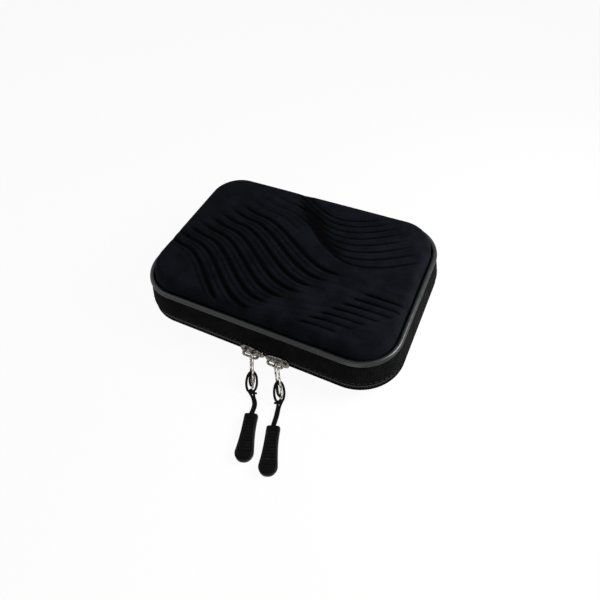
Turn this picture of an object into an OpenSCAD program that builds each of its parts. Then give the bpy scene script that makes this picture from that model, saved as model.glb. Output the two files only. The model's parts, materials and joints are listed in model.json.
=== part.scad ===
// Hard-shell zip case for a portable drive, closed, with two zip pulls lying in front of it.
// The origin is the centre of the flat bottom. +X is right, -Y is the front, +Z is up.
// Every wall is a profile (u, z) swept round a core rectangle: u is the distance out from that core.

/* [Outline] */
// Length of the piping ring, along its centre line
ring_length = 150; // [130:1:190]
// Width of the piping ring, along its centre line
ring_width = 102; // [90:1:130]
// Corner radius of the piping ring
ring_corner_r = 22; // [20:0.5:26]
// How much further out the zip line is than the piping
band_flare = 4; // [3.6:0.1:5]

/* [Heights] */
// Height of the zip line above the table
zip_z = 14.1; // [13.5:0.1:18]
// Height of the piping above the zip line
band_h = 17.3; // [16.5:0.1:22]
// Height of the domed top above the piping
dome_h = 8.5; // [7.5:0.1:12]

/* [Base shell] */
// Lean of the base's wall from the vertical, in degrees
base_lean = 35; // [25:1:36]
// Radius under the base's edge
base_edge_r = 5; // [4.5:0.1:6]
// Thickness of the cloth on the outside of the shells
cover_t = 0.8; // [0.5:0.1:1]
// Thickness of the foam of the base shell
base_foam_t = 2.2; // [1.6:0.1:2.4]
// Thickness of the lining cloth
lining_t = 0.6; // [0.4:0.1:0.8]

/* [Lid shell] */
// Radius round the domed top's shoulder
dome_r = 5; // [4.8:0.1:6]
// Thickness of the foam of the lid's dome
dome_foam_t = 3; // [2:0.1:3.2]
// How far the dome's wall comes in between its foot and its shoulder
dome_lean = 0.8; // [0.4:0.1:1]
// Thickness of the foam that stiffens the band
band_foam_t = 1.8; // [1.2:0.1:2]
// Thickness of the woven band
band_t = 0.9; // [0.6:0.1:0.9]
// Radius of the piping's bead
bead_r = 1.6; // [1.2:0.1:1.6]

/* [Zip] */
// Thickness of the zip's tapes
tape_t = 0.6; // [0.5:0.1:0.7]
// Thickness of a row of teeth, across the wall
coil_t = 1.5; // [1.2:0.1:1.6]
// Height of a row of teeth
coil_h = 1; // [0.8:0.1:1.2]
// Gap between the two rows of teeth, where the sliders' posts run
row_gap = 1.4; // [1.2:0.1:1.8]
// Length of the cloth hinge along the back
hinge_length = 90; // [60:1:96]

/* [Sliders] */
// Length of a slider
slider_length = 14.6; // [12:0.2:16]
// Height of a slider's front plate
slider_h = 8.4; // [7:0.1:9]
// Thickness of a slider's front plate
slider_plate_t = 1.1; // [0.8:0.1:1.4]
// Where the two closed sliders meet, right of the middle
sliders_meet_x = 9; // [0:0.5:12]
// Gap between the noses of the closed sliders
nose_gap = 0.6; // [0.4:0.1:1]
// Length of a bail along its bar, over its posts
bail_length = 10; // [9:0.1:11]
// Radius of a bail's bar
bail_bar_r = 0.6; // [0.5:0.05:0.7]
// Distance of the bail's bar from the slider's front plate
bail_reach = 2.9; // [2.8:0.1:3.4]

/* [Pulls] */
// Radius of the wire of a pull ring
wire_r = 0.55; // [0.4:0.05:0.6]
// Radius of the wire's centre line in a pull ring's ends
ring_bend_r = 2.1; // [2:0.05:2.2]
// Distance between the centres of a pull ring's two ends
ring_pitch = 14.9; // [14:0.1:22]
// Distance of each ring from the middle of its bail, to the right
ring_shift = 1.4; // [0:0.1:1.5]
// Height of the far end of a pull ring above the table
ring_tip_z = 2.2; // [2:0.1:3]
// Radius of a pull's cord
cord_r = 0.65; // [0.5:0.05:0.7]
// Length of a moulded grip
grip_length = 25; // [20:0.5:30]
// Width of a grip where the cord goes in
grip_top_w = 7.2; // [6.6:0.1:8]
// Width of a grip near its round end
grip_end_w = 9.6; // [8.8:0.1:11]
// Thickness of a grip
grip_t = 4.6; // [4:0.1:5]

/* [Inside] */
// Width of the elastic strap
strap_w = 38; // [25:1:60]
// Thickness of the elastic strap
strap_t = 1; // [0.8:0.1:1.2]
// Height of the mesh pocket above the zip line
mesh_rise = 9.8; // [9:0.1:10.2]
// Thickness of the pocket's mesh
mesh_t = 0.5; // [0.4:0.1:0.8]
// Distance of the pocket's open edge from the middle of the case
pocket_mouth_y = 34; // [20:1:38]
// Width of the elastic along the pocket's open edge
pocket_elastic_w = 8; // [6:0.5:10]

/* [Hidden] */

// Segments of a full turn on the swept walls, and of a round wire
turn_fn = 96;
wire_fn = 40;
// Points along a quarter of a rounded profile
arc_steps = 6;

// The core rectangle, which the profiles go round
core_x = ring_length / 2 - ring_corner_r;
core_y = ring_width / 2 - ring_corner_r;

// Distances out from the core
piping_u = ring_corner_r;
band_low_u = ring_corner_r + band_flare;
tape_u = band_low_u - band_t;
coil_u = tape_u - tape_t / 2 + coil_t / 2 - 0.05;

// Heights
piping_z = zip_z + band_h;
top_z = piping_z + dome_h;
rim_gap = 2.9;
rim_z = zip_z - rim_gap;
base_coil_top_z = zip_z - row_gap / 2;
base_coil_z = base_coil_top_z - coil_h;
lid_coil_z = zip_z + row_gap / 2;
lid_tape_z = lid_coil_z + coil_h;

// The woven band leans from its low edge to its top edge, just under the piping's bead
band_low_z = lid_tape_z + 0.1;
band_top_z = piping_z - bead_r - 0.1;
band_top_u = piping_u + 0.9;
function band_u(z, d = 0) =
    band_low_u + (band_top_u - band_low_u) * (z - band_low_z) / (band_top_z - band_low_z) - d;

// Depths of the layers behind the band's outer face
flange_t = 0.6;
foam_d = band_t + flange_t;
foam_back_d = foam_d + band_foam_t;
lining_back_d = foam_back_d + lining_t;
foam_low_rise = 3.3;
foam_low_z = zip_z + foam_low_rise;
shelf_drop = 1.4;
shelf_z = piping_z - shelf_drop;
shelf_t = 1.6;

// The base's profile at depth d: flat bottom, rounded edge, leaning wall up to the rim
base_rim_u = tape_u;
base_edge_u = base_rim_u - base_edge_r * cos(base_lean)
    - (rim_z - base_edge_r + base_edge_r * sin(base_lean)) * tan(base_lean);
function base_u(z, d = 0) = base_rim_u - (rim_z - z) * tan(base_lean) - d / cos(base_lean);
function base_path(d) = concat(
    [[0, d]],
    [for (i = [0:arc_steps]) let (a = -90 + (90 - base_lean) * i / arc_steps)
        [base_edge_u + (base_edge_r - d) * cos(a), base_edge_r + (base_edge_r - d) * sin(a)]],
    [[base_u(rim_z, d), rim_z]]);
base_lining_d = cover_t + base_foam_t;
base_inside_d = base_lining_d + lining_t;

// The dome's profile at depth d: flat top, round shoulder, nearly upright wall down to its foot
dome_foot_u = piping_u - bead_r - 0.1;
dome_wall_u = dome_foot_u - dome_lean;
dome_edge_u = dome_wall_u - dome_r;
dome_edge_z = top_z - dome_r;
function dome_path(d) = concat(
    [[0, top_z - d]],
    [for (i = [0:arc_steps]) let (a = 90 - 90 * i / arc_steps)
        [dome_edge_u + (dome_r - d) * cos(a), dome_edge_z + (dome_r - d) * sin(a)]],
    [[dome_foot_u - d, shelf_z]]);
dome_lining_d = cover_t + dome_foam_t;
dome_inside_d = dome_lining_d + lining_t;

function backwards(list) = [for (i = [len(list) - 1:-1:0]) list[i]];

// Moves a profile that is drawn in (u, z) all the way round the core rectangle
module sweep_round(profile) {
    for (k = [0:3]) {
        hx = k % 2 == 0 ? core_x : core_y;
        hy = k % 2 == 0 ? core_y : core_x;
        rotate(90 * k) translate([hx, hy, 0]) {
            rotate_extrude(angle = 90, $fn = turn_fn) polygon(profile);
            rotate([90, 0, 0]) linear_extrude(2 * hy) polygon(profile);
        }
    }
}

// The same, with the middle filled from low to high where the profile starts at the core
module sweep_filled(profile, low, high) {
    sweep_round(profile);
    translate([-core_x, -core_y, low]) cube([2 * core_x, 2 * core_y, high - low]);
}

module base_layer(d_out, d_in)
    sweep_filled(concat(base_path(d_out), backwards(base_path(d_in))), d_out, d_in);

// A block over the hinge's length at the back wall
module hinge_zone(extra = 0) {
    depth = 8;
    translate([-hinge_length / 2 - extra, core_y + band_low_u - depth, zip_z - depth])
        cube([hinge_length + 2 * extra, 2 * depth, 2 * depth]);
}

module ring_block(u_in, u_out, z_low, z_high)
    sweep_round([[u_in, z_low], [u_out, z_low], [u_out, z_high], [u_in, z_high]]);

/* Base */

module base_cover() {
    color("#17181b") base_layer(0, cover_t);
}

module base_shell() {
    color("#2a2b2e") base_layer(cover_t, base_lining_d);
}

module base_lining() {
    color("#222326") base_layer(base_lining_d, base_inside_d);
}

// Narrow woven strip over the seam between the base's cover and the zip's tape
base_band_t = 0.7;
base_band_skirt = 4.7;
base_band_top_z = base_coil_z - 0.1;
base_band_low_z = rim_z - base_band_skirt;
module base_band() {
    color("#1b1c1e") sweep_round([
        [tape_u, base_band_top_z], [tape_u, rim_z], [base_u(base_band_low_z), base_band_low_z],
        [base_u(base_band_low_z) + base_band_t, base_band_low_z], [tape_u + base_band_t, rim_z],
        [tape_u + base_band_t, base_band_top_z]]);
}

// Binding tape over the raw edge of the shell and its lining
binding_t = 0.8;
binding_overhang = 2;
binding_u = tape_u - tape_t - 0.1;
module base_binding() {
    color("#101113") ring_block(base_u(rim_z, base_inside_d) - binding_overhang, binding_u,
        rim_z, rim_z + binding_t);
}

module base_tape() {
    color("#141517") difference() {
        ring_block(tape_u - tape_t, tape_u, rim_z, base_coil_z);
        hinge_zone();
    }
}

module base_coil() {
    color("#1f2022") difference() {
        ring_block(coil_u - coil_t, coil_u, base_coil_z, base_coil_top_z);
        hinge_zone(stop_w);
    }
}

// Sewn stops that end the rows of teeth beside the hinge
stop_w = 2.4;
module zip_stops(z_low, z_high) {
    for (side = [-1, 1])
        translate([side * (hinge_length + stop_w) / 2 - stop_w / 2, core_y + coil_u - coil_t, z_low])
            cube([stop_w, coil_t, z_high - z_low]);
}

module base_zip_stops() {
    color("#8c8c88") zip_stops(base_coil_z, base_coil_top_z);
}

strap_top_z = rim_z;
strap_end_gap = 0.2;
strap_y = core_y + base_u(strap_top_z - strap_t, base_inside_d) - strap_end_gap;
module elastic_strap() {
    color("#0f0f11") translate([-strap_w / 2, -strap_y, strap_top_z - strap_t])
        cube([strap_w, 2 * strap_y, strap_t]);
}

// Doubled ends of the strap, sewn to its underside
tab_l = 6;
tab_t = 0.6;
module strap_tabs() {
    color("#19191c") for (side = [-1, 1])
        translate([-strap_w / 2 + 1, side * (strap_y - 1.2 - tab_l / 2) - tab_l / 2,
                   strap_top_z - strap_t - tab_t])
            cube([strap_w - 2, tab_l, tab_t]);
}

// Cloth strip that joins the two halves along the back, in place of the zip's tapes: upright from the
// base's rim to the band's low edge, then leaning behind the band, where it is sewn in
module hinge_cloth() {
    cloth_clear = 0.15;
    high = band_low_z + lid_tape_l;
    color("#141517") intersection() {
        sweep_round([
            [tape_u, rim_z], [tape_u, band_low_z], [band_u(high, band_t), high],
            [band_u(high, band_t + tape_t), high], [tape_u - tape_t, band_low_z], [tape_u - tape_t, rim_z]]);
        hinge_zone(-cloth_clear);
    }
}

/* Lid */

module lid_cover() {
    color("#17181c") sweep_filled(
        concat(dome_path(0), backwards(dome_path(cover_t))), top_z - cover_t, top_z);
}

module lid_shell() {
    color("#2a2b2e") sweep_filled(
        concat(dome_path(cover_t), backwards(dome_path(dome_lining_d))),
        top_z - dome_lining_d, top_z - cover_t);
}

// Stiffener behind the band, with a shelf that the dome stands on
module lid_band_foam() {
    chamfer = 0.6;
    color("#2a2b2e") sweep_round([
        [band_u(foam_low_z, foam_d), foam_low_z],
        [band_u(shelf_z - chamfer, foam_d), shelf_z - chamfer],
        [dome_foot_u + 0.3, shelf_z],
        [dome_foot_u - dome_lining_d, shelf_z],
        [dome_foot_u - dome_lining_d, shelf_z - shelf_t],
        [band_u(shelf_z - shelf_t, foam_back_d), shelf_z - shelf_t],
        [band_u(foam_low_z, foam_back_d), foam_low_z]]);
}

module lid_lining() {
    low = shelf_z - shelf_t;
    outer = concat(dome_path(dome_lining_d), [
        [dome_foot_u - dome_lining_d, low],
        [band_u(low, foam_back_d), low],
        [band_u(foam_low_z, foam_back_d), foam_low_z]]);
    inner = concat(dome_path(dome_inside_d), [
        [dome_foot_u - dome_inside_d, low - lining_t],
        [band_u(low - lining_t, lining_back_d), low - lining_t],
        [band_u(foam_low_z, lining_back_d), foam_low_z]]);
    color("#222326") sweep_filled(
        concat(outer, backwards(inner)), top_z - dome_inside_d, top_z - dome_lining_d);
}

// Bead of the piping, and its flange between the band and the foam
flange_l = 5;
module lid_piping() {
    color("#26282a") for (k = [0:3]) {
        hx = k % 2 == 0 ? core_x : core_y;
        hy = k % 2 == 0 ? core_y : core_x;
        rotate(90 * k) translate([hx, hy, 0]) {
            rotate_extrude(angle = 90, $fn = turn_fn) piping_profile();
            rotate([90, 0, 0]) linear_extrude(2 * hy) piping_profile();
        }
    }
}

module piping_profile() {
    low = band_top_z - flange_l;
    translate([piping_u, piping_z]) circle(bead_r, $fn = 32);
    polygon([
        [band_u(low, foam_d), low], [band_u(low, band_t), low],
        [band_u(band_top_z, band_t), band_top_z], [piping_u, piping_z],
        [band_u(band_top_z, foam_d), band_top_z]]);
}

module lid_band() {
    color("#1b1c1e") sweep_round([
        [band_low_u, band_low_z], [band_top_u, band_top_z],
        [band_top_u - band_t, band_top_z], [band_low_u - band_t, band_low_z]]);
}

lid_tape_l = 5;
module lid_tape() {
    high = band_low_z + lid_tape_l;
    color("#141517") difference() {
        sweep_round([
            [tape_u, lid_tape_z], [band_u(band_low_z, band_t), band_low_z],
            [band_u(high, band_t), high], [band_u(high, band_t + tape_t), high],
            [band_u(band_low_z, band_t + tape_t), band_low_z], [tape_u - tape_t, lid_tape_z]]);
        hinge_zone();
    }
}

module lid_coil() {
    color("#1f2022") difference() {
        ring_block(coil_u - coil_t, coil_u, lid_coil_z, lid_tape_z);
        hinge_zone(stop_w);
    }
}

module lid_zip_stops() {
    color("#8c8c88") zip_stops(lid_coil_z, lid_tape_z);
}

lid_binding_h = 1.2;
module lid_binding() {
    low = foam_low_z - lid_binding_h;
    back_u = band_u(foam_low_z, lining_back_d) - 0.3;
    color("#101113") ring_block(back_u, binding_u - 0.5, low, foam_low_z);
}

mesh_z = zip_z + mesh_rise;
mesh_gap = 0.2;
mesh_u = band_u(mesh_z + mesh_t, lining_back_d) - mesh_gap;
edging_w = 1.4;
edging_t = 0.5;

// Everything behind the pocket's open edge
module behind_mouth(y) {
    far = ring_length;
    translate([-far, -y, 0]) cube([2 * far, 2 * far, far]);
}

module mesh_pocket() {
    color("#2f3033") intersection() {
        sweep_filled([[0, mesh_z], [mesh_u, mesh_z], [mesh_u, mesh_z + mesh_t], [0, mesh_z + mesh_t]],
            mesh_z, mesh_z + mesh_t);
        behind_mouth(pocket_mouth_y);
    }
}

module pocket_binding() {
    color("#101113") intersection() {
        ring_block(mesh_u - edging_w, mesh_u, mesh_z - edging_t, mesh_z);
        behind_mouth(pocket_mouth_y - pocket_elastic_w);
    }
}

// Elastic hem under the mesh's open edge
module pocket_elastic() {
    hem_x = core_x + mesh_u - 0.4;
    color("#0f0f11") intersection() {
        translate([-hem_x, -pocket_mouth_y, mesh_z - edging_t])
            cube([2 * hem_x, pocket_elastic_w - 0.2, edging_t]);
        sweep_filled([[0, 0], [mesh_u, 0], [mesh_u, top_z], [0, top_z]], 0, top_z);
    }
}

/* Sliders */

plate_gap = 0.4;
plate_u = band_low_u + plate_gap;
back_plate_t = 1;
back_plate_h = 3.4;
back_plate_u = coil_u - coil_t - plate_gap;
post_l = 4;
post_h = row_gap - 0.6;
slider_y = -core_y - plate_u - slider_plate_t;
left_slider_x = sliders_meet_x - (nose_gap + slider_length) / 2;
right_slider_x = sliders_meet_x + (nose_gap + slider_length) / 2;

// Front plate with round ends, back plate and the post that joins them through the parting gap
module slider_body(x, nose) {
    r = 3;
    translate([x, 0, zip_z]) {
        translate([0, slider_y + slider_plate_t, 0]) rotate([90, 0, 0]) linear_extrude(slider_plate_t) {
            translate([-slider_length / 2 + r, -slider_h / 2])
                square([slider_length - 2 * r, slider_h]);
            translate([-slider_length / 2, -slider_h / 2 + r])
                square([slider_length, slider_h - 2 * r]);
            for (sx = [-1, 1], sz = [-1, 1])
                translate([sx * (slider_length / 2 - r), sz * (slider_h / 2 - r)])
                    circle(r, $fn = wire_fn);
        }
        translate([-slider_length / 2, -core_y - back_plate_u, -back_plate_h / 2])
            cube([slider_length, back_plate_t, back_plate_h]);
        translate([nose * (slider_length / 2 - 1) - (nose > 0 ? post_l : 0),
                   slider_y + slider_plate_t / 2, -post_h / 2])
            cube([post_l, plate_u + slider_plate_t / 2 - back_plate_u + back_plate_t / 2, post_h]);
    }
}

bail_elbow_r = 1.4;
bail_bar_y = slider_y - bail_reach;

// Arched wire over the front plate: two posts, two elbows and a straight bar that the ring hangs on
module slider_bail(x) {
    half = bail_length / 2 - bail_bar_r;
    straight = half - bail_elbow_r;
    translate([x, bail_bar_y, zip_z]) {
        translate([-straight, 0, 0]) rotate([0, 90, 0])
            cylinder(h = 2 * straight, r = bail_bar_r, $fn = wire_fn);
        for (side = [0, 1]) mirror([side, 0, 0]) {
            translate([straight, bail_elbow_r, 0]) rotate(-90)
                rotate_extrude(angle = 90, $fn = turn_fn)
                    translate([bail_elbow_r, 0]) circle(bail_bar_r, $fn = wire_fn);
            translate([half, bail_reach, 0]) rotate([90, 0, 0])
                cylinder(h = bail_reach - bail_elbow_r, r = bail_bar_r, $fn = wire_fn);
        }
    }
}

/* Pulls */

// Plan angle of each ring and each cord from straight ahead, and the ring's turn about its own length
left_ring_yaw = 22;
right_ring_yaw = 32;
left_cord_yaw = 20;
right_cord_yaw = 21;
ring_twist = 64;
ring_reach = ring_pitch + ring_bend_r;
ring_drop = asin((zip_z - ring_tip_z) / ring_reach);

// A pull ring, its length along +X from the centre of the end that hangs on the bail
module wire_ring() {
    for (end = [0, 1])
        translate([end * ring_pitch, 0, 0]) rotate(end * 180 + 90)
            rotate_extrude(angle = 180, $fn = turn_fn)
                translate([ring_bend_r, 0]) circle(wire_r, $fn = wire_fn);
    for (side = [-1, 1])
        translate([0, side * ring_bend_r, 0]) rotate([0, 90, 0])
            cylinder(h = ring_pitch, r = wire_r, $fn = wire_fn);
}

module pull_ring(x, yaw) {
    color("#9a958c") translate([x + ring_shift, bail_bar_y, zip_z])
        rotate([ring_twist, ring_drop, yaw - 90]) wire_ring();
}

// Place of a ring's far end, and the frame of its cord and grip: +X along the cord, on the table
function ring_tip(x, yaw) = [
    x + ring_shift + ring_reach * cos(ring_drop) * sin(yaw),
    bail_bar_y - ring_reach * cos(ring_drop) * cos(yaw),
    ring_tip_z];

module at_pull(x, yaw, cord_yaw) {
    tip = ring_tip(x, yaw);
    translate([tip[0], tip[1], 0]) rotate(cord_yaw - 90) children();
}

// Middle line of the two strands from the knot to the grip: along, across and up, in millimetres
left_route = [[2.4, 0, 1.8], [5, 1.2, 1.6], [7.6, 2.4, 1.6], [10.2, 2.9, 1.7], [13, 2.6, 2], [15.6, 2, 2.3]];
right_route = [[2.4, 0, 1.8], [4.8, -0.5, 1.6], [7.6, -0.8, 1.6], [10.6, -1.1, 1.7], [13.6, -1.6, 2],
    [16.5, -2.1, 2.3]];
knot_place = left_route[0];
strand_space = 1.5;
loop_length = 9;
loop_half_w = 2.5;
loop_steps = 20;
tube_sides = 8;

// Unit vector, and the tube's ring of points about a place p that faces along the direction t
function unit(v) = v / norm(v);
function tube_ring(p, t, side) = let (a = unit(side - (side * t) * t), b = cross(t, a))
    [for (k = [0:tube_sides - 1]) let (g = 360 * (k + 0.5) / tube_sides)
        p + cord_r * (a * cos(g) + b * sin(g))];
function tangents(p) = [for (i = [0:len(p) - 1])
    unit(p[min(i + 1, len(p) - 1)] - p[max(i - 1, 0)])];

// The loop stands square to the ring's own plane, round the wire of its far end. The cord's whole
// route is one strand in from the grip, this loop, and the other strand out.
function loop_points(yaw, cord_yaw) =
    let (turn = yaw - cord_yaw,
         along = [cos(ring_drop) * cos(turn), cos(ring_drop) * sin(turn), -sin(ring_drop)],
         tip = [0, 0, ring_tip_z],
         far = tip - loop_length * along,
         across = [cos(ring_twist) * sin(ring_drop) * cos(turn) + sin(ring_twist) * sin(turn),
                   cos(ring_twist) * sin(ring_drop) * sin(turn) - sin(ring_twist) * cos(turn),
                   cos(ring_twist) * cos(ring_drop)])
    [for (i = [1:loop_steps - 1]) let (g = 360 * i / loop_steps)
        knot_place + (far - knot_place) * (1 - cos(g)) / 2
        + across * (loop_half_w * sin(g) + strand_space / 2 * cos(g / 2))];
function strand(route, side) = [for (i = [1:len(route) - 1])
    route[i] + [0, side * strand_space / 2, 0]];

module cord_tube(points) {
    t = tangents(points);
    last = len(points) - 1;
    rings = [for (i = [0:last])
        tube_ring(points[i], i == 0 ? [-1, 0, 0] : i == last ? [1, 0, 0] : t[i], [0, 0.3, 1])];
    flat = [for (r = rings) for (p = r) p];
    n = tube_sides;
    faces = concat(
        [[for (k = [0:n - 1]) n - 1 - k]],
        [for (i = [0:last - 1], k = [0:n - 1]) [i * n + k, i * n + (k + 1) % n, (i + 1) * n + (k + 1) % n]],
        [for (i = [0:last - 1], k = [0:n - 1]) [i * n + k, (i + 1) * n + (k + 1) % n, (i + 1) * n + k]],
        [[for (k = [0:n - 1]) last * n + k]]);
    polyhedron(flat, [for (f = faces) backwards(f)]);
}

module pull_cord(x, yaw, cord_yaw, route) {
    color("#111214") at_pull(x, yaw, cord_yaw)
        cord_tube(concat(
            backwards(strand(route, -1)), loop_points(yaw, cord_yaw), strand(route, 1)));
}

// Small hitch that holds the cord's loop shut, with its short end to one side
knot_r = 1.6;
nub_l = 2.6;
module pull_knot(x, yaw, cord_yaw, side) {
    color("#0d0d0f") at_pull(x, yaw, cord_yaw) translate(knot_place) {
        sphere(knot_r, $fn = wire_fn);
        rotate([-90 * side, 0, 0]) cylinder(h = nub_l, r = cord_r, $fn = wire_fn);
    }
}

// Outline of a grip from its top end at x = 0: straight in, a slight waist, then a round end
grip_waist = 0.5;
grip_steps = 12;
function grip_half_w(x) = let (s = x / (grip_length - grip_end_w / 2))
    (grip_top_w + (grip_end_w - grip_top_w) * s) / 2 - grip_waist * sin(180 * s);
module grip_outline(inset) {
    straight = grip_length - grip_end_w / 2;
    upper = [for (i = [0:grip_steps]) let (x = inset + (straight - inset) * i / grip_steps)
        [x, grip_half_w(x) - inset]];
    polygon(concat(upper, [for (p = backwards(upper)) [p[0], -p[1]]]));
    translate([straight, 0]) circle(grip_end_w / 2 - inset, $fn = 64);
}

// Moulded rubber grip with a raised rim and cross ribs on both faces
grip_rim = 1.2;
grip_recess = 0.5;
rib_count = 9;
rib_w = 0.7;
module pull_grip(x, yaw, cord_yaw, route) {
    start = route[len(route) - 1];
    ribs_from = 3.5;
    ribs_to = grip_length - grip_end_w / 2;
    color("#121315") at_pull(x, yaw, cord_yaw) translate([start[0], start[1], 0]) {
        difference() {
            linear_extrude(grip_t) grip_outline(0);
            for (z = [-grip_recess, grip_t - grip_recess])
                translate([0, 0, z]) linear_extrude(2 * grip_recess) grip_outline(grip_rim);
        }
        for (i = [0:rib_count - 1])
            translate([ribs_from + (ribs_to - ribs_from) * i / (rib_count - 1),
                       -grip_top_w / 2 + grip_rim + grip_waist, 0])
                cube([rib_w, grip_top_w - 2 * grip_rim - 2 * grip_waist, grip_t]);
    }
}

base_cover();
base_shell();
base_lining();
base_band();
base_binding();
base_tape();
base_coil();
base_zip_stops();
elastic_strap();
strap_tabs();
hinge_cloth();
lid_cover();
lid_shell();
lid_lining();
lid_piping();
lid_band();
lid_band_foam();
lid_binding();
lid_tape();
lid_coil();
lid_zip_stops();
mesh_pocket();
pocket_elastic();
pocket_binding();
color("#8f8a82") slider_body(left_slider_x, 1);  // slider_body_left
color("#8f8a82") slider_bail(left_slider_x);  // slider_bail_left
pull_ring(left_slider_x, left_ring_yaw);  // pull_ring_left
pull_cord(left_slider_x, left_ring_yaw, left_cord_yaw, left_route);  // pull_cord_left
pull_knot(left_slider_x, left_ring_yaw, left_cord_yaw, 1);  // pull_knot_left
pull_grip(left_slider_x, left_ring_yaw, left_cord_yaw, left_route);  // pull_grip_left
color("#8f8a82") slider_body(right_slider_x, -1);  // slider_body_right
color("#8f8a82") slider_bail(right_slider_x);  // slider_bail_right
pull_ring(right_slider_x, right_ring_yaw);  // pull_ring_right
pull_cord(right_slider_x, right_ring_yaw, right_cord_yaw, right_route);  // pull_cord_right
pull_knot(right_slider_x, right_ring_yaw, right_cord_yaw, -1);  // pull_knot_right
pull_grip(right_slider_x, right_ring_yaw, right_cord_yaw, right_route);  // pull_grip_right
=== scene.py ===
"""Dressed model of a closed hard-shell zip case for a portable drive, its two zip pulls on the table.

Lengths here are millimetres, and become metres when a mesh is made. The origin is the centre of the
case's flat bottom, -Y is the front and +Z is up. Every wall of the case is a profile of (u, z)
points carried round a core rectangle, where u is the distance out from that core.
"""
import json
import logging
from dataclasses import dataclass
from enum import Enum
from functools import partial
from typing import Callable, Iterable, Iterator, Optional

import bmesh
import bpy
import numpy as np
from mathutils import Matrix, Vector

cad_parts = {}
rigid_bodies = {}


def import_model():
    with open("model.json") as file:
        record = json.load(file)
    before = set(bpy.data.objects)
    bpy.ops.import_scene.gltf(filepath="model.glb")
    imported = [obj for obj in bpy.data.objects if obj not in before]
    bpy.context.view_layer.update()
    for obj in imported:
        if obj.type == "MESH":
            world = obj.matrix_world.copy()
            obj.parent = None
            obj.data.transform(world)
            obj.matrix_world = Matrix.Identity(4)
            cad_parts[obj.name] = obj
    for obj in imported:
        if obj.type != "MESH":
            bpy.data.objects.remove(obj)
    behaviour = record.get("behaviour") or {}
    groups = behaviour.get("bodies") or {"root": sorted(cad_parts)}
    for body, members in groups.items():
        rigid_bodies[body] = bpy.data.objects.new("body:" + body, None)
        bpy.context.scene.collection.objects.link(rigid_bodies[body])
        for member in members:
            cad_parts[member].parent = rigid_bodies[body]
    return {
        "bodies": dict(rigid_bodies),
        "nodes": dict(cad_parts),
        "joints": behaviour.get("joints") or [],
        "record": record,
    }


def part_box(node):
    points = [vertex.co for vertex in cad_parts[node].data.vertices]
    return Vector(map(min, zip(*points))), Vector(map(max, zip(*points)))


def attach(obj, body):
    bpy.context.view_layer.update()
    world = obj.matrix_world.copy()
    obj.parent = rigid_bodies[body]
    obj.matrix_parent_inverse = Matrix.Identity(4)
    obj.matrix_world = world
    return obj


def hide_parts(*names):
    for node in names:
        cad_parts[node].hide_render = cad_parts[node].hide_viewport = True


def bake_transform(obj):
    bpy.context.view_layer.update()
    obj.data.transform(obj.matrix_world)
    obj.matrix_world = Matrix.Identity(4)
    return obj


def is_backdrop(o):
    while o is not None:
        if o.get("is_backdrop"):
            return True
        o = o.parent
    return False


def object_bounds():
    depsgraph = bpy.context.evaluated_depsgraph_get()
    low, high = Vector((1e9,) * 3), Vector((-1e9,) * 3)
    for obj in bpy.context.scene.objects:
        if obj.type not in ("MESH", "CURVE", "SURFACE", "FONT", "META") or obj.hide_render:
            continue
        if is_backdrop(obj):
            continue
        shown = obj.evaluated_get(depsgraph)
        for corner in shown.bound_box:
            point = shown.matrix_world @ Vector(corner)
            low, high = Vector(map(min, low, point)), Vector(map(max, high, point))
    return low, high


LOG = logging.getLogger("zip case")
MM = 0.001
TURN = 2 * np.pi
UP = (0, 0, 1)

# Points nearer than this are one point, radius of the sewing thread, radius of the bail's bar in the
# solids, and the knot's place on the cord's own axes
MEETING = 0.002
THREAD_R = 0.16
BAIL_BAR_R = 0.6
KNOT_PLACE = np.array([2.4, 0.0, 1.8])

Socket = bpy.types.NodeSocket
SocketPair = tuple[Socket, Socket]


class Side(Enum):
    """The two sliders and pulls, as seen from the front."""

    LEFT = "left"
    RIGHT = "right"


class Half(Enum):
    """The two halves of the case, by the names of their bodies."""

    BASE = "base"
    LID = "lid"


class Coordinates(Enum):
    """What a finish's pattern is laid out on."""

    OBJECT = "Object"
    SURFACE = "UV"


# Surfaces


def add_object(name: str, data: bpy.types.ID) -> bpy.types.Object:
    """A new object in the scene that holds a mesh, a lamp or a camera."""
    made = bpy.data.objects.new(name, data)
    bpy.context.scene.collection.objects.link(made)
    return made


def node_box(node: str) -> tuple[np.ndarray, np.ndarray]:
    """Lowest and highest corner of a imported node."""
    low, high = (np.array(corner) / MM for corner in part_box(node))
    return low, high


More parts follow.
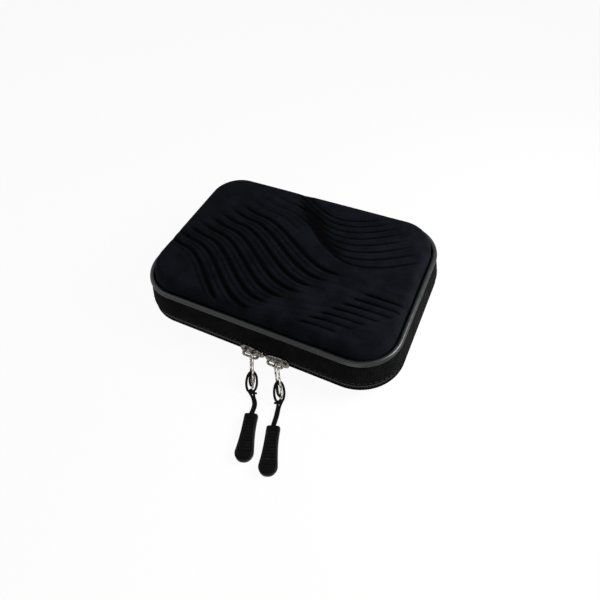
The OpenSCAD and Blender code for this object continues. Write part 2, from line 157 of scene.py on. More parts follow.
@dataclass
class Surface:
    """Points in millimetres, the quads between them, their places in the pattern, and a painted shade for
    each.
    """

    points: np.ndarray
    quads: np.ndarray
    uv: np.ndarray
    shade: Optional[np.ndarray] = None

    @staticmethod
    def grid(points: np.ndarray, rows_at: Optional[np.ndarray] = None,
             columns_at: Optional[np.ndarray] = None) -> "Surface":
        """Surface over a grid of points, whose normals are the row direction times the column direction.

        Args:
            points: Array of rows by columns by 3.
            rows_at: Running length at each row, or at each point, for the pattern's first coordinate.
            columns_at: Running length at each column, or at each point, for the second coordinate.

        Returns:
            The grid's surface. Ends that meet are joined when the object is made.
        """
        rows, columns = points.shape[:2]
        first = (np.arange(rows - 1)[:, None] * columns + np.arange(columns - 1)).ravel()
        quads = np.stack([first, first + columns, first + columns + 1, first + 1], axis=1)
        along = np.arange(rows, dtype=float) if rows_at is None else rows_at
        across = np.arange(columns, dtype=float) if columns_at is None else columns_at
        along = np.broadcast_to(along[:, None] if along.ndim == 1 else along, (rows, columns))
        across = np.broadcast_to(across, (rows, columns))
        return Surface(points.reshape(-1, 3), quads, np.stack([along, across], axis=-1).reshape(-1, 2))

    @staticmethod
    def joined(surfaces: Iterable["Surface"]) -> "Surface":
        """One surface with the faces of all the given ones."""
        parts = list(surfaces)
        starts = np.cumsum([0] + [len(part.points) for part in parts[:-1]])
        return Surface(
            np.concatenate([part.points for part in parts]),
            np.concatenate([part.quads + start for part, start in zip(parts, starts)]),
            np.concatenate([part.uv for part in parts]))

    def repeated(self, places: np.ndarray, axes: np.ndarray) -> "Surface":
        """Copies of this surface, one for each place.

        Args:
            places: Array of n by 3, where each copy's origin goes.
            axes: Array of n by 3 by 3, whose rows are each copy's x, y and z directions.

        Returns:
            One surface with all the copies: point = place + x * X + y * Y + z * Z.
        """
        count = len(self.points)
        points = places[:, None, :] + np.einsum("pk,nkc->npc", self.points, axes)
        quads = self.quads[None] + (np.arange(len(places)) * count)[:, None, None]
        uv = np.broadcast_to(self.uv, (len(places), count, 2))
        return Surface(points.reshape(-1, 3), quads.reshape(-1, 4), uv.reshape(-1, 2))

    def turned(self, frame: "LocalFrame") -> "Surface":
        """The surface moved from a local frame into the case's own frame."""
        return Surface(frame.placed(self.points), self.quads, self.uv)

    def to_object(self, name: str, finish: "Finish", closed: bool = True) -> bpy.types.Object:
        """Makes a mesh object of the surface, with meeting points joined and a finish on it.

        Args:
            name: The piece's name.
            finish: What it is made of.
            closed: Whether the surface is a closed one, whose normals are then turned outwards.

        Returns:
            The new object, linked to the scene.
        """
        mesh = bpy.data.meshes.new(name)
        mesh.vertices.add(len(self.points))
        mesh.vertices.foreach_set("co", (self.points * MM).astype(np.float32).ravel())
        mesh.loops.add(self.quads.size)
        mesh.loops.foreach_set("vertex_index", self.quads.astype(np.int32).ravel())
        mesh.polygons.add(len(self.quads))
        mesh.polygons.foreach_set("loop_start", np.arange(0, self.quads.size, 4, dtype=np.int32))
        layer = mesh.uv_layers.new(name="surface")
        layer.data.foreach_set("uv", self.uv[self.quads.ravel()].astype(np.float32).ravel())
        # Painted shade: each point's share is stored as the groove attribute, which darkens the cloth's
        # colour.
        if self.shade is not None:
            values = mesh.attributes.new("groove", "FLOAT", "POINT")
            values.data.foreach_set("value", self.shade.astype(np.float32))
        mesh.update(calc_edges=True)
        shape = bmesh.new()
        shape.from_mesh(mesh)
        bmesh.ops.remove_doubles(shape, verts=shape.verts, dist=MEETING * MM)
        if closed:
            bmesh.ops.recalc_face_normals(shape, faces=shape.faces)
        shape.to_mesh(mesh)
        shape.free()
        mesh.polygons.foreach_set("use_smooth", np.ones(len(mesh.polygons), dtype=bool))
        mesh.materials.append(finish.material())
        return add_object(name, mesh)


@dataclass(frozen=True)
class LocalFrame:
    """A place and three directions, for pieces that are drawn on axes of their own."""

    origin: np.ndarray
    axes: np.ndarray

    @staticmethod
    def from_turns(origin: Iterable[float], yaw: float, pitch: float = 0.0,
                   roll: float = 0.0) -> "LocalFrame":
        """Frame turned by roll about X, then pitch about Y, then yaw about Z, in degrees."""
        matrix = (Matrix.Rotation(np.radians(yaw), 3, "Z") @ Matrix.Rotation(np.radians(pitch), 3, "Y")
                  @ Matrix.Rotation(np.radians(roll), 3, "X"))
        return LocalFrame(np.array(list(origin), dtype=float), np.array(matrix).T)

    def placed(self, points: np.ndarray) -> np.ndarray:
        """Points of the local frame in the case's frame: origin + x X + y Y + z Z."""
        return self.origin + points @ self.axes


def unit(vectors: np.ndarray) -> np.ndarray:
    """Vectors scaled to length 1 along their last axis."""
    return vectors / np.linalg.norm(vectors, axis=-1, keepdims=True)


def running(points: np.ndarray) -> np.ndarray:
    """Length along a line of points, from 0 at its first point."""
    return np.r_[0, np.cumsum(np.linalg.norm(np.diff(points, axis=0), axis=1))]


def arc(centre: tuple[float, float], radius: float, start: float, stop: float, steps: int) -> np.ndarray:
    """Points on an arc in the (u, z) plane, with its angles in degrees."""
    angles = np.radians(np.linspace(start, stop, steps + 1))
    return np.stack([centre[0] + radius * np.cos(angles), centre[1] + radius * np.sin(angles)], axis=1)


def smooth_line(points: np.ndarray, steps: int) -> np.ndarray:
    """Curve through all the points: each step between two points is a Catmull-Rom cubic of its neighbours.

    Args:
        points: Array of n by 2 or 3.
        steps: Pieces that each step is cut into.

    Returns:
        Array of (n - 1) * steps + 1 points.
    """
    padded = np.concatenate([2 * points[:1] - points[1:2], points, 2 * points[-1:] - points[-2:-1]])
    before, here, there, after = (padded[k:len(padded) - 3 + k][:, None] for k in range(4))
    t = (np.arange(steps) / steps)[None, :, None]
    curve = 0.5 * (2 * here + (there - before) * t + (2 * before - 5 * here + 4 * there - after) * t ** 2
                   + (3 * here - before - 3 * there + after) * t ** 3)
    return np.concatenate([curve.reshape(-1, points.shape[1]), points[-1:]])


def tube(path: np.ndarray, radius: float | np.ndarray, sides: int, side_hint: Iterable[float],
         round_ends: bool = True, closed: bool = False) -> Surface:
    """Round tube along a path: path + radius (A cos g + B sin g), A and B square to the path.

    Args:
        path: Array of n by 3 points; a closed path repeats its first point at its end.
        radius: One radius, or one for each point of the path.
        sides: Faces round the tube.
        side_hint: A direction that the path never runs along, which sets where A points.
        round_ends: Whether the ends are closed with half balls.
        closed: Whether the path is a loop.

    Returns:
        The tube's surface, its pattern running along the path and round it.
    """
    along = np.gradient(path, axis=0)
    if closed:
        along[0] = along[-1] = path[1] - path[-2]
    along = unit(along)
    radii = np.broadcast_to(np.asarray(radius, dtype=float), (len(path),))
    length = running(path)
    if round_ends and not closed:
        dome = np.radians(np.array([90.0, 72, 50, 25]))
        reach, narrow = np.sin(dome)[:, None], np.cos(dome)
        path = np.concatenate([path[:1] - along[:1] * radii[0] * reach, path,
                               path[-1:] + along[-1:] * radii[-1] * reach[::-1]])
        starts, stops = (np.repeat(along[k][None], len(dome), 0) for k in (0, -1))
        along = np.concatenate([starts, along, stops])
        length = np.r_[length[0] - radii[0] * reach[:, 0], length, length[-1] + radii[-1] * reach[::-1, 0]]
        radii = np.r_[radii[0] * narrow, radii, radii[-1] * narrow[::-1]]
    hint = np.array(list(side_hint), dtype=float)
    first = unit(hint - (along @ hint)[:, None] * along)
    second = np.cross(along, first)
    angles = np.linspace(0, TURN, sides + 1)
    points = path[:, None] + radii[:, None, None] * (
        first[:, None] * np.cos(angles)[None, :, None] + second[:, None] * np.sin(angles)[None, :, None])
    return Surface.grid(points, length, angles * float(radii.max()))


def swell(x: np.ndarray, low: float, high: float) -> np.ndarray:
    """Half a cosine wave that goes from 0 at low to 1 at high."""
    return (1 - np.cos(np.pi * np.clip((x - low) / (high - low), 0, 1))) / 2


def squared(angles: np.ndarray, power: float) -> tuple[np.ndarray, np.ndarray]:
    """Cosine and sine of the angles, each sign(w) |w|^power, which squares off the circle they draw."""
    across, upward = (np.sign(wave) * np.abs(wave) ** power for wave in (np.cos(angles), np.sin(angles)))
    return across, upward


def capped(places: np.ndarray, section: np.ndarray, middle: np.ndarray) -> tuple[np.ndarray, np.ndarray]:
    """A section at each place of a straight piece, closed at both ends by one drawn in to its middle.

    Args:
        places: Where the section stands along the piece.
        section: Array of k by 2 points.
        middle: The point that it is drawn in to.

    Returns:
        The places with both ends doubled, and middle + (section - middle) * share at each of them, where
        the share is 0 at the doubled ends and 1 between them.
    """
    share = np.r_[0.0, np.ones(len(places)), 0.0]
    return np.r_[places[0], places, places[-1]], middle + (section[None] - middle) * share[:, None, None]


# The case's form


@dataclass(frozen=True)
class Path:
    """A way round the core rectangle: places on the core, directions out of it, and both running lengths."""

    core: np.ndarray
    out: np.ndarray
    straight: np.ndarray
    angle: np.ndarray

    def run(self, u: float) -> np.ndarray:
        """Running length of each place along the line u out from the core."""
        return self.straight + self.angle * u

    def carry(self, profile: np.ndarray) -> Surface:
        """Carries a profile along the path: (x, y) = core + u out, z = z.

        Args:
            profile: Array of k by 2 points (u, z), upwards on the outer face.

        Returns:
            The swept surface. Its pattern runs along the path at the profile's middle u, and up the profile.
        """
        plan = self.core[:, None] + profile[None, :, :1] * self.out[:, None]
        heights = np.broadcast_to(profile[None, :, 1:], plan.shape[:2] + (1,))
        return Surface.grid(np.concatenate([plan, heights], axis=-1), self.run(float(profile[:, 0].mean())),
                            running(profile))

    def seats(self, u: float, z: float, places: np.ndarray) -> tuple[np.ndarray, np.ndarray]:
        """Seats for copies of a piece in a row round the case.

        Args:
            u: The row's distance out from the core.
            z: Its height.
            places: Running lengths along the line u out.

        Returns:
            Array of n by 3 points, and array of n by 3 by 3 directions: along the row, outwards and up.
        """
        run, line = self.run(u), self.core + u * self.out
        plan, out = (np.stack([np.interp(places, run, values[:, k]) for k in (0, 1)], axis=1)
                     for values in (line, self.out))
        out, level = unit(out), np.zeros(len(out))
        along, outward = np.column_stack([-out[:, 1], out[:, 0], level]), np.column_stack([out, level])
        axes = np.stack([along, outward, np.broadcast_to(np.array(UP, dtype=float), along.shape)], axis=1)
        return np.column_stack([plan, level + z]), axes


@dataclass(frozen=True)
class CaseForm:
    """Sizes that the pieces of the case share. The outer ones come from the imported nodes."""

    core_x: float
    core_y: float
    piping_z: float
    top_z: float
    rim_z: float
    zip_z: float
    corner_r: float = 22.0
    band_flare: float = 4.0
    band_t: float = 0.9
    band_rise: float = 1.8
    band_top_out: float = 0.9
    flange_t: float = 0.6
    bead_r: float = 1.6
    bead_gap: float = 0.1
    shelf_drop: float = 1.4
    foam_rise: float = 3.3
    tape_t: float = 0.6
    cover_t: float = 0.8
    lining_t: float = 0.6
    base_foam_t: float = 2.2
    dome_foam_t: float = 3.0
    band_foam_t: float = 1.8
    base_lean: float = 35.0
    base_edge_r: float = 5.0
    dome_r: float = 5.0
    dome_lean: float = 0.8
    hinge_half: float = 45.0

    @staticmethod
    def from_nodes() -> "CaseForm":
        """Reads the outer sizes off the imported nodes' boxes."""
        bead_r, corner_r = CaseForm.bead_r, CaseForm.corner_r
        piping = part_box("lid_piping")[1]
        lower_row, upper_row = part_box("base_coil")[1][2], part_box("lid_coil")[0][2]
        return CaseForm(
            core_x=piping[0] / MM - corner_r - bead_r,
            core_y=piping[1] / MM - corner_r - bead_r,
            piping_z=piping[2] / MM - bead_r,
            top_z=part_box("lid_cover")[1][2] / MM,
            rim_z=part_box("base_cover")[1][2] / MM,
            zip_z=(lower_row + upper_row) / 2 / MM)

    @property
    def band_low_u(self) -> float:
        """Distance out of the band's low edge."""
        return self.corner_r + self.band_flare

    @property
    def tape_u(self) -> float:
        """Distance out of the zip tapes' outer face."""
        return self.band_low_u - self.band_t

    @property
    def band_low_z(self) -> float:
        """Height of the band's low edge."""
        return self.zip_z + self.band_rise

    @property
    def band_top(self) -> tuple[float, float]:
        """Distance out and height of the band's top edge, just under the piping's bead."""
        return self.corner_r + self.band_top_out, self.piping_z - self.bead_r - self.bead_gap

    def band_u(self, z: np.ndarray | float, depth: float = 0.0) -> np.ndarray | float:
        """Distance out of the leaning band at a height, and at a depth behind its face."""
        top_u, top_z = self.band_top
        slope = (top_u - self.band_low_u) / (top_z - self.band_low_z)
        return self.band_low_u + slope * (z - self.band_low_z) - depth

    @property
    def flange_depth(self) -> float:
        """Depth behind the band's face of the inner face of the piping's flange."""
        return self.band_t + self.flange_t

    @property
    def shelf_z(self) -> float:
        """Height of the shelf that the dome stands on."""
        return self.piping_z - self.shelf_drop

    @property
    def foam_low_z(self) -> float:
        """Height of the low edge of the foam behind the band."""
        return self.zip_z + self.foam_rise

    def base_profile(self, depth: float, steps: int = 14) -> np.ndarray:
        """The base's section at a depth: flat bottom, rounded edge, and a leaning wall up to the rim."""
        lean, r = np.radians(self.base_lean), self.base_edge_r
        edge_u = self.tape_u - r * np.cos(lean) - (self.rim_z - r + r * np.sin(lean)) * np.tan(lean)
        edge = arc((edge_u, r), r - depth, -90, -self.base_lean, steps)
        rim = np.array([[self.tape_u - depth / np.cos(lean), self.rim_z]])
        wall = edge[-1] + (rim - edge[-1]) * np.linspace(0, 1, steps + 1)[1:, None]
        return np.concatenate([[[0.0, depth]], edge, wall])

    def dome_profile(self, depth: float, step: float = 1.0) -> np.ndarray:
        """The dome's section at a depth: from its foot up the wall, round the shoulder and in over the top.

        Args:
            depth: Depth under the cloth's face.
            step: Distance between neighbouring points.

        Returns:
            Array of points (u, z), the last of them above the core's edge.
        """
        foot_u = self.corner_r - self.bead_r - self.bead_gap - depth
        wall_u, shoulder_z = foot_u - self.dome_lean, self.top_z - self.dome_r
        r = self.dome_r - depth
        shoulder_u = wall_u - r
        wall_steps = max(2, round((shoulder_z - self.shelf_z) / step))
        wall = np.stack([np.linspace(foot_u, wall_u, wall_steps + 1),
                         np.linspace(self.shelf_z, shoulder_z, wall_steps + 1)], axis=1)
        shoulder = arc((shoulder_u, shoulder_z), r, 0, 90, max(6, round(r * np.pi / 2 / step)))
        top_steps = max(2, round(shoulder_u / step))
        top = np.stack([np.linspace(shoulder_u, 0, top_steps + 1),
                        np.full(top_steps + 1, self.top_z - depth)], axis=1)
        return np.concatenate([wall, shoulder[1:], top[1:]])

    def path(self, step: float = 1.0) -> Path:
        """The whole way round, counter-clockwise from the middle of the back, in steps of about a length."""
        steps_x, steps_y = (2 * round(half / step) for half in (self.core_x, self.core_y))
        corner_steps = round(self.corner_r * np.pi / 2 / step)
        lengths = (self.core_x, 2 * self.core_y, 2 * self.core_x, 2 * self.core_y, self.core_x)
        counts = (steps_x // 2, steps_y, steps_x, steps_y, steps_x // 2)
        corner = np.array([[0, 1], [-1, 1], [-1, -1], [1, -1], [1, 1], [0, 1]]) * [self.core_x, self.core_y]
        core, out, straight, angle = [], [], [], []
        quarter, run = TURN / 4, 0.0
        for k, (length, count) in enumerate(zip(lengths, counts)):
            facing = quarter * (k + 1)
            share = np.linspace(0, 1, count + 1)[:, None]
            core.append(corner[k] + (corner[k + 1] - corner[k]) * share)
            out.append(np.repeat([[np.cos(facing), np.sin(facing)]], count + 1, axis=0))
            straight.append(run + length * share[:, 0])
            angle.append(np.full(count + 1, quarter * k))
            run += length
            if k < len(lengths) - 1:
                turn = facing + np.linspace(0, quarter, corner_steps + 1)[1:-1]
                core.append(np.repeat(corner[k + 1][None], len(turn), axis=0))
                out.append(np.stack([np.cos(turn), np.sin(turn)], axis=1))
                straight.append(np.full(len(turn), run))
                angle.append(turn - quarter)
        return Path(*(np.concatenate(parts) for parts in (core, out, straight, angle)))


# Finishes


class Sketch:
    """Adds nodes and links to one shader tree. Inputs are plain values or other nodes' sockets."""

    def __init__(self, tree: bpy.types.NodeTree) -> None:
        """Keeps the tree that is drawn in."""
        self.tree = tree

    @staticmethod
    def on(owner: bpy.types.Material | bpy.types.World) -> "Sketch":
        """A sketch on the emptied tree of a material or a world."""
        owner.use_nodes = True
        owner.node_tree.nodes.clear()
        return Sketch(owner.node_tree)

    def node(self, kind: str, inputs: Optional[dict] = None, **settings: object) -> bpy.types.Node:
        """Adds a node.

        Args:
            kind: The node type's name after ShaderNode.
            inputs: Values or sockets, by the input's name or number.
            settings: The node's own settings.

        Returns:
            The new node.
        """
        made = self.tree.nodes.new(kind if kind.startswith("Node") else "ShaderNode" + kind)
        for key, value in settings.items():
            setattr(made, key, value)
        for key, value in (inputs or {}).items():
            if isinstance(value, Socket):
                self.tree.links.new(value, made.inputs[key])
            else:
                made.inputs[key].default_value = value
        return made

    def math(self, operation: str, *values: object) -> Socket:
        """One math node's result."""
        return self.node("Math", dict(enumerate(values)), operation=operation).outputs[0]

    def times(self, first: object, second: object) -> Socket:
        """The product of two values."""
        return self.math("MULTIPLY", first, second)

    def plus(self, first: object, second: object) -> Socket:
        """The sum of two values."""
        return self.math("ADD", first, second)

    def weighted(self, first: object, first_share: float, second: object, second_share: float) -> Socket:
        """The sum of two values, each times its own share."""
        return self.plus(self.times(first, first_share), self.times(second, second_share))

    def fade(self, value: object, low: float, high: float, to_low: float = 0.0, to_high: float = 1.0
             ) -> Socket:
        """A value carried smoothly from the range low to high onto another range."""
        inputs = {"Value": value, "From Min": low, "From Max": high, "To Min": to_low, "To Max": to_high}
        return self.node("MapRange", inputs, interpolation_type="SMOOTHSTEP").outputs[0]

    def colours(self, share: object, first: tuple, second: tuple | Socket
                ) -> Socket:
        """A colour between two, where share 0 is the first."""
        as_colour = [(*c, 1.0) if isinstance(c, tuple) else c for c in (first, second)]
        inputs = {0: share, 6: as_colour[0], 7: as_colour[1]}
        return self.node("Mix", inputs, data_type="RGBA").outputs[2]

    def noise(self, place: Socket, scale: float, detail: float = 2.0,
              roughness: float = 0.5) -> Socket:
        """A noise value at a place, where scale is in bumps to the millimetre."""
        inputs = {"Vector": place, "Scale": scale, "Detail": detail, "Roughness": roughness}
        return self.node("TexNoise", inputs).outputs["Fac"]

    def bump(self, height: Socket, strength: float, depth: float,
             normal: Optional[Socket] = None) -> Socket:
        """A normal bent by a height, whose full range is depth millimetres."""
        inputs = {"Height": height, "Strength": strength, "Distance": depth * MM}
        if normal is not None:
            inputs["Normal"] = normal
        return self.node("Bump", inputs).outputs[0]


class EffectGroup(Enum):
    """Surface effects that several finishes share, each built once as a node group."""

    WEAVE = "weave"
    KNIT = "knit"
    GRAIN = "grain"
    DUST = "dust"

    def tree(self) -> bpy.types.NodeTree:
        """The group's node tree, made on its first use. Its place input is in millimetres."""
        found = bpy.data.node_groups.get(self.value)
        if found is not None:
            return found
        tree = bpy.data.node_groups.new(self.value, "ShaderNodeTree")
        for name, way, kind in (("Place", "INPUT", "Vector"), ("Size", "INPUT", "Float"),
                                ("Height", "OUTPUT", "Float"), ("Mask", "OUTPUT", "Float")):
            tree.interface.new_socket(name, in_out=way, socket_type=f"NodeSocket{kind}")
        sketch = Sketch(tree)
        given = sketch.node("NodeGroupInput").outputs
        draw = {EffectGroup.WEAVE: draw_weave, EffectGroup.KNIT: draw_knit,
                EffectGroup.GRAIN: draw_grain, EffectGroup.DUST: draw_dust}[self]
        height, mask = draw(sketch, given["Place"], given["Size"])
        sketch.node("NodeGroupOutput", {"Height": height, "Mask": mask})
        return tree

    def outputs(self, sketch: Sketch, place: Socket, size: float) -> SocketPair:
        """Puts the group in a finish, and gives its height and its mask."""
        made = sketch.node("Group", {"Place": place, "Size": size}, node_tree=self.tree())
        return made.outputs["Height"], made.outputs["Mask"]


def draw_weave(sketch: Sketch, place: Socket, size: Socket) -> SocketPair:
    """Plain weave: round threads both ways, the upper one where sin(pi x / p) sin(pi y / p) is positive."""
    parts = sketch.node("SeparateXYZ", {0: place}).outputs
    across, along = (sketch.math("SINE", sketch.times(sketch.math("DIVIDE", parts[k], size), np.pi))
                     for k in (0, 1))
    warp_up = sketch.fade(sketch.times(across, along), -0.15, 0.15)
    warp, weft = (sketch.math("POWER", sketch.math("ABSOLUTE", wave), 0.6) for wave in (across, along))
    warp_high = sketch.times(warp, sketch.fade(warp_up, 0, 1, 0.35, 1.0))
    weft_high = sketch.times(weft, sketch.fade(warp_up, 0, 1, 1.0, 0.35))
    return sketch.math("MAXIMUM", warp_high, weft_high), warp_up


def draw_knit(sketch: Sketch, place: Socket, size: Socket) -> SocketPair:
    """Fine jersey: columns of stitches, a sine of y plus a saw of x that leans left and right in turn."""
    parts = sketch.node("SeparateXYZ", {0: place}).outputs
    x, y = (sketch.math("DIVIDE", parts[k], size) for k in (0, 1))
    column = sketch.math("PINGPONG", x, 0.5)
    stitch = sketch.math("SINE", sketch.times(sketch.weighted(y, 1.3, column, 1.1), TURN))
    rib = sketch.math("SINE", sketch.times(sketch.times(column, 2.0), np.pi))
    high, wide = sketch.plus(sketch.times(stitch, 0.5), 0.5), sketch.plus(sketch.times(rib, 0.6), 0.4)
    return sketch.times(high, wide), rib


def draw_grain(sketch: Sketch, place: Socket, size: Socket) -> SocketPair:
    """Fine moulded or pressed grain: cell pits, and a broad soft mottle as the mask."""
    scale = sketch.math("DIVIDE", 1.0, size)
    cells = sketch.node("TexVoronoi", {"Vector": place, "Scale": scale}, feature="F1").outputs["Distance"]
    mottle = {"Vector": place, "Scale": sketch.times(scale, 0.12), "Detail": 3.0}
    return (sketch.fade(cells, 0.0, 0.8),
            sketch.fade(sketch.node("TexNoise", mottle).outputs["Fac"], 0.3, 0.7))


def draw_dust(sketch: Sketch, place: Socket, size: Socket) -> SocketPair:
    """Sparse lint: short specks at the peaks of a stretched noise. The mask keeps those in broad patches."""
    stretched = sketch.node("Mapping", {"Vector": place, "Scale": (1.0, 0.28, 1.0), "Rotation": (0, 0, 0.6)})
    scale = sketch.math("DIVIDE", 1.0, size)
    fine = {"Vector": stretched.outputs[0], "Scale": scale, "Detail": 1.0}
    peaks = sketch.fade(sketch.node("TexNoise", fine).outputs["Fac"], 0.70, 0.80)
    broad = {"Vector": place, "Scale": sketch.times(scale, 0.03), "Detail": 2.0}
    patches = sketch.fade(sketch.node("TexNoise", broad).outputs["Fac"], 0.4, 0.65)
    return peaks, sketch.times(peaks, patches)


@dataclass(frozen=True)
class Finish:
    """A material by its name and slot. Each kind of finish has its own look, drawn in millimetres."""

    name: str
    slot: str
    coordinates: Coordinates = Coordinates.OBJECT

    def material(self) -> bpy.types.Material:
        """The finish's material, made on its first use."""
        found = bpy.data.materials.get(self.name)
        if found is not None:
            return found
        made = bpy.data.materials.new(self.name)
        sketch = Sketch.on(made)
        if self.coordinates is Coordinates.SURFACE:
            place = sketch.node("UVMap", uv_map="surface").outputs[0]
        else:
            metres = sketch.node("TexCoord").outputs["Object"]
            place = sketch.node("Mapping", {"Vector": metres, "Scale": (1 / MM,) * 3}).outputs[0]
        inputs = {name.replace("_", " "): value for name, value in self.look(sketch, place).items()}
        shader = sketch.node("BsdfPrincipled", inputs)
        sketch.node("OutputMaterial", {"Surface": shader.outputs[0]})
        return made

    def look(self, sketch: Sketch, place: Socket) -> dict[str, object]:
        """The shader's inputs at a place, by their names with underscores for the spaces."""
        raise NotImplementedError


@dataclass(frozen=True)
class KnitCloth(Finish):
    """Fine stretch knit that was pressed over the shells: near black, a faint blue, with a soft sheen."""

    # Colours of the low and high knit: partly painted shade between the loops, partly a random mottle.
    deep: tuple = (0.0012, 0.0014, 0.0021)
    raised: tuple = (0.0088, 0.0097, 0.0138)
    # Painted shade: the near black that the cloth takes in the deep grooves.
    painted_groove_shade: tuple = (0.0002, 0.0002, 0.0004)
    loop: float = 0.62
    sheen: float = 0.012

    def look(self, sketch: Sketch, place: Socket) -> dict[str, object]:
        """Loops in the bump, and in the colour as painted shade between them; a broad mottle, painted shade
        in the grooves, and lint.
        """
        loops, _ = EffectGroup.KNIT.outputs(sketch, place, self.loop)
        _, mottle = EffectGroup.GRAIN.outputs(sketch, place, 1.1)
        _, lint = EffectGroup.DUST.outputs(sketch, place, 0.5)
        # Painted shade between the loops, mixed with the random mottle.
        share = sketch.weighted(loops, 0.55, mottle, 0.45)
        cloth = sketch.colours(share, self.deep, self.raised)
        # Painted shade: the cloth goes to near black with the depth of the grooves.
        groove = sketch.node("Attribute", attribute_name="groove").outputs["Fac"]
        cloth = sketch.colours(sketch.fade(groove, 0.10, 0.90), cloth, self.painted_groove_shade)
        total = sketch.colours(sketch.times(lint, 0.16), cloth, (0.10, 0.10, 0.11))
        rough = sketch.fade(mottle, 0, 1, 0.80, 0.92)
        fuzz = sketch.bump(sketch.noise(place, 3.2, 3.0), 0.35, 0.08)
        return dict(Base_Color=total, Roughness=rough, Sheen_Weight=self.sheen,
                    Sheen_Roughness=0.45, Sheen_Tint=(0.80, 0.86, 1.0, 1), Specular_IOR_Level=0.015,
                    Normal=sketch.bump(loops, 0.6, 0.09, fuzz))


@dataclass(frozen=True)
class WovenNylon(Finish):
    """Coarse plain weave of shiny black yarn, with a painted highlight as a dot on each crossing and painted
    shade between the threads.
    """

    # deep is painted shade in the gaps between the threads, and raised the painted highlight on the
    # crossings.
    deep: tuple = (0.0003, 0.0003, 0.0003)
    raised: tuple = (0.0200, 0.0204, 0.0208)
    thread: float = 0.74
    sheen: float = 0.002

    def look(self, sketch: Sketch, place: Socket) -> dict[str, object]:
        """Round threads in the bump, painted highlights on the crossings and painted shade in the gaps
        between them, and the yarn's fine fibres.
        """
        threads, warp_up = EffectGroup.WEAVE.outputs(sketch, place, self.thread)
        _, mottle = EffectGroup.GRAIN.outputs(sketch, place, 0.9)
        _, lint = EffectGroup.DUST.outputs(sketch, place, 0.6)
        # Painted highlights: a pale dot where a thread crosses on top, brightest where the warp is up;
        # painted shade where the threads lie low. A random mottle dims them in places.
        painted_glints = sketch.times(sketch.fade(threads, 0.60, 0.95), sketch.fade(warp_up, 0, 1, 0.12, 1.0))
        share = sketch.times(painted_glints, sketch.fade(mottle, 0, 1, 0.6, 1.0))
        yarn = sketch.colours(share, self.deep, self.raised)
        colour = sketch.colours(sketch.times(lint, 0.08), yarn, (0.10, 0.10, 0.10))
        fibres = sketch.noise(place, 9.0, 1.0)
        rough = sketch.fade(sketch.plus(sketch.times(warp_up, 0.3), fibres), 0.2, 1.2, 0.58, 0.80)
        return dict(Base_Color=colour, Roughness=rough, Sheen_Weight=self.sheen,
                    Sheen_Roughness=0.35, Specular_IOR_Level=0.006,
                    Normal=sketch.bump(threads, 0.8, 0.16, sketch.bump(fibres, 0.25, 0.03)))


@dataclass(frozen=True)
class Tape(Finish):
    """Close woven tape or binding, flatter and duller than the band."""

    # pale is painted light on the thread tops, and dark painted shade between them.
    dark: tuple = (0.0040, 0.0041, 0.0043)
    pale: tuple = (0.0105, 0.0106, 0.0110)
    thread: float = 0.34

    def look(self, sketch: Sketch, place: Socket) -> dict[str, object]:
        """A fine weave whose ribs show along the tape: painted light on the thread tops and painted shade
        between them, under a random mottle.
        """
        threads, _ = EffectGroup.WEAVE.outputs(sketch, place, self.thread)
        _, mottle = EffectGroup.GRAIN.outputs(sketch, place, 1.3)
        # Painted light and shade: paler where the threads stand high, varied by a random mottle.
        share = sketch.times(threads, sketch.fade(mottle, 0, 1, 0.75, 1.0))
        return dict(Base_Color=sketch.colours(share, self.dark, self.pale),
                    Roughness=sketch.fade(mottle, 0, 1, 0.70, 0.84), Sheen_Weight=0.03,
                    Specular_IOR_Level=0.2, Normal=sketch.bump(threads, 0.6, 0.08))


@dataclass(frozen=True)
class Vinyl(Finish):
    """Smooth half-gloss piping skin with a fine pressed grain and a few rubbed places."""

    dark: tuple = (0.0045, 0.0051, 0.0054)
    rubbed: tuple = (0.0110, 0.0118, 0.0122)

    def look(self, sketch: Sketch, place: Socket) -> dict[str, object]:
        """Grain in the bump, and duller, paler rubs."""
        grain, mottle = EffectGroup.GRAIN.outputs(sketch, place, 0.35)
        rubs = sketch.fade(sketch.noise(place, 0.16, 4.0, 0.6), 0.52, 0.72)
        return dict(Base_Color=sketch.colours(rubs, self.dark, self.rubbed),
                    Roughness=sketch.fade(sketch.plus(rubs, mottle), 0, 2, 0.27, 0.46),
                    Specular_IOR_Level=0.36, Normal=sketch.bump(grain, 0.25, 0.02))


@dataclass(frozen=True)
class Plastic(Finish):
    """Dark nylon or moulded rubber: fine grain, with handling marks in the roughness."""

    dark: tuple = (0.0050, 0.0052, 0.0054)
    worn: tuple = (0.0110, 0.0112, 0.0114)
    grain: float = 0.22
    depth: float = 0.02
    smooth: float = 0.36
    dull: float = 0.52
    gloss: float = 0.4

    def look(self, sketch: Sketch, place: Socket) -> dict[str, object]:
        """Grain in the bump, and worn patches that are paler and smoother."""
        pits, mottle = EffectGroup.GRAIN.outputs(sketch, place, self.grain)
        _, lint = EffectGroup.DUST.outputs(sketch, place, 0.45)
        marks = sketch.fade(sketch.noise(place, 0.35, 4.0, 0.65), 0.48, 0.75)
        share = sketch.weighted(marks, 0.8, lint, 0.6)
        return dict(Base_Color=sketch.colours(share, self.dark, self.worn),
                    Roughness=sketch.fade(sketch.math("SUBTRACT", mottle, marks), -1, 1,
                                          self.smooth, self.dull),
                    Specular_IOR_Level=self.gloss, Normal=sketch.bump(pits, 0.5, self.depth))


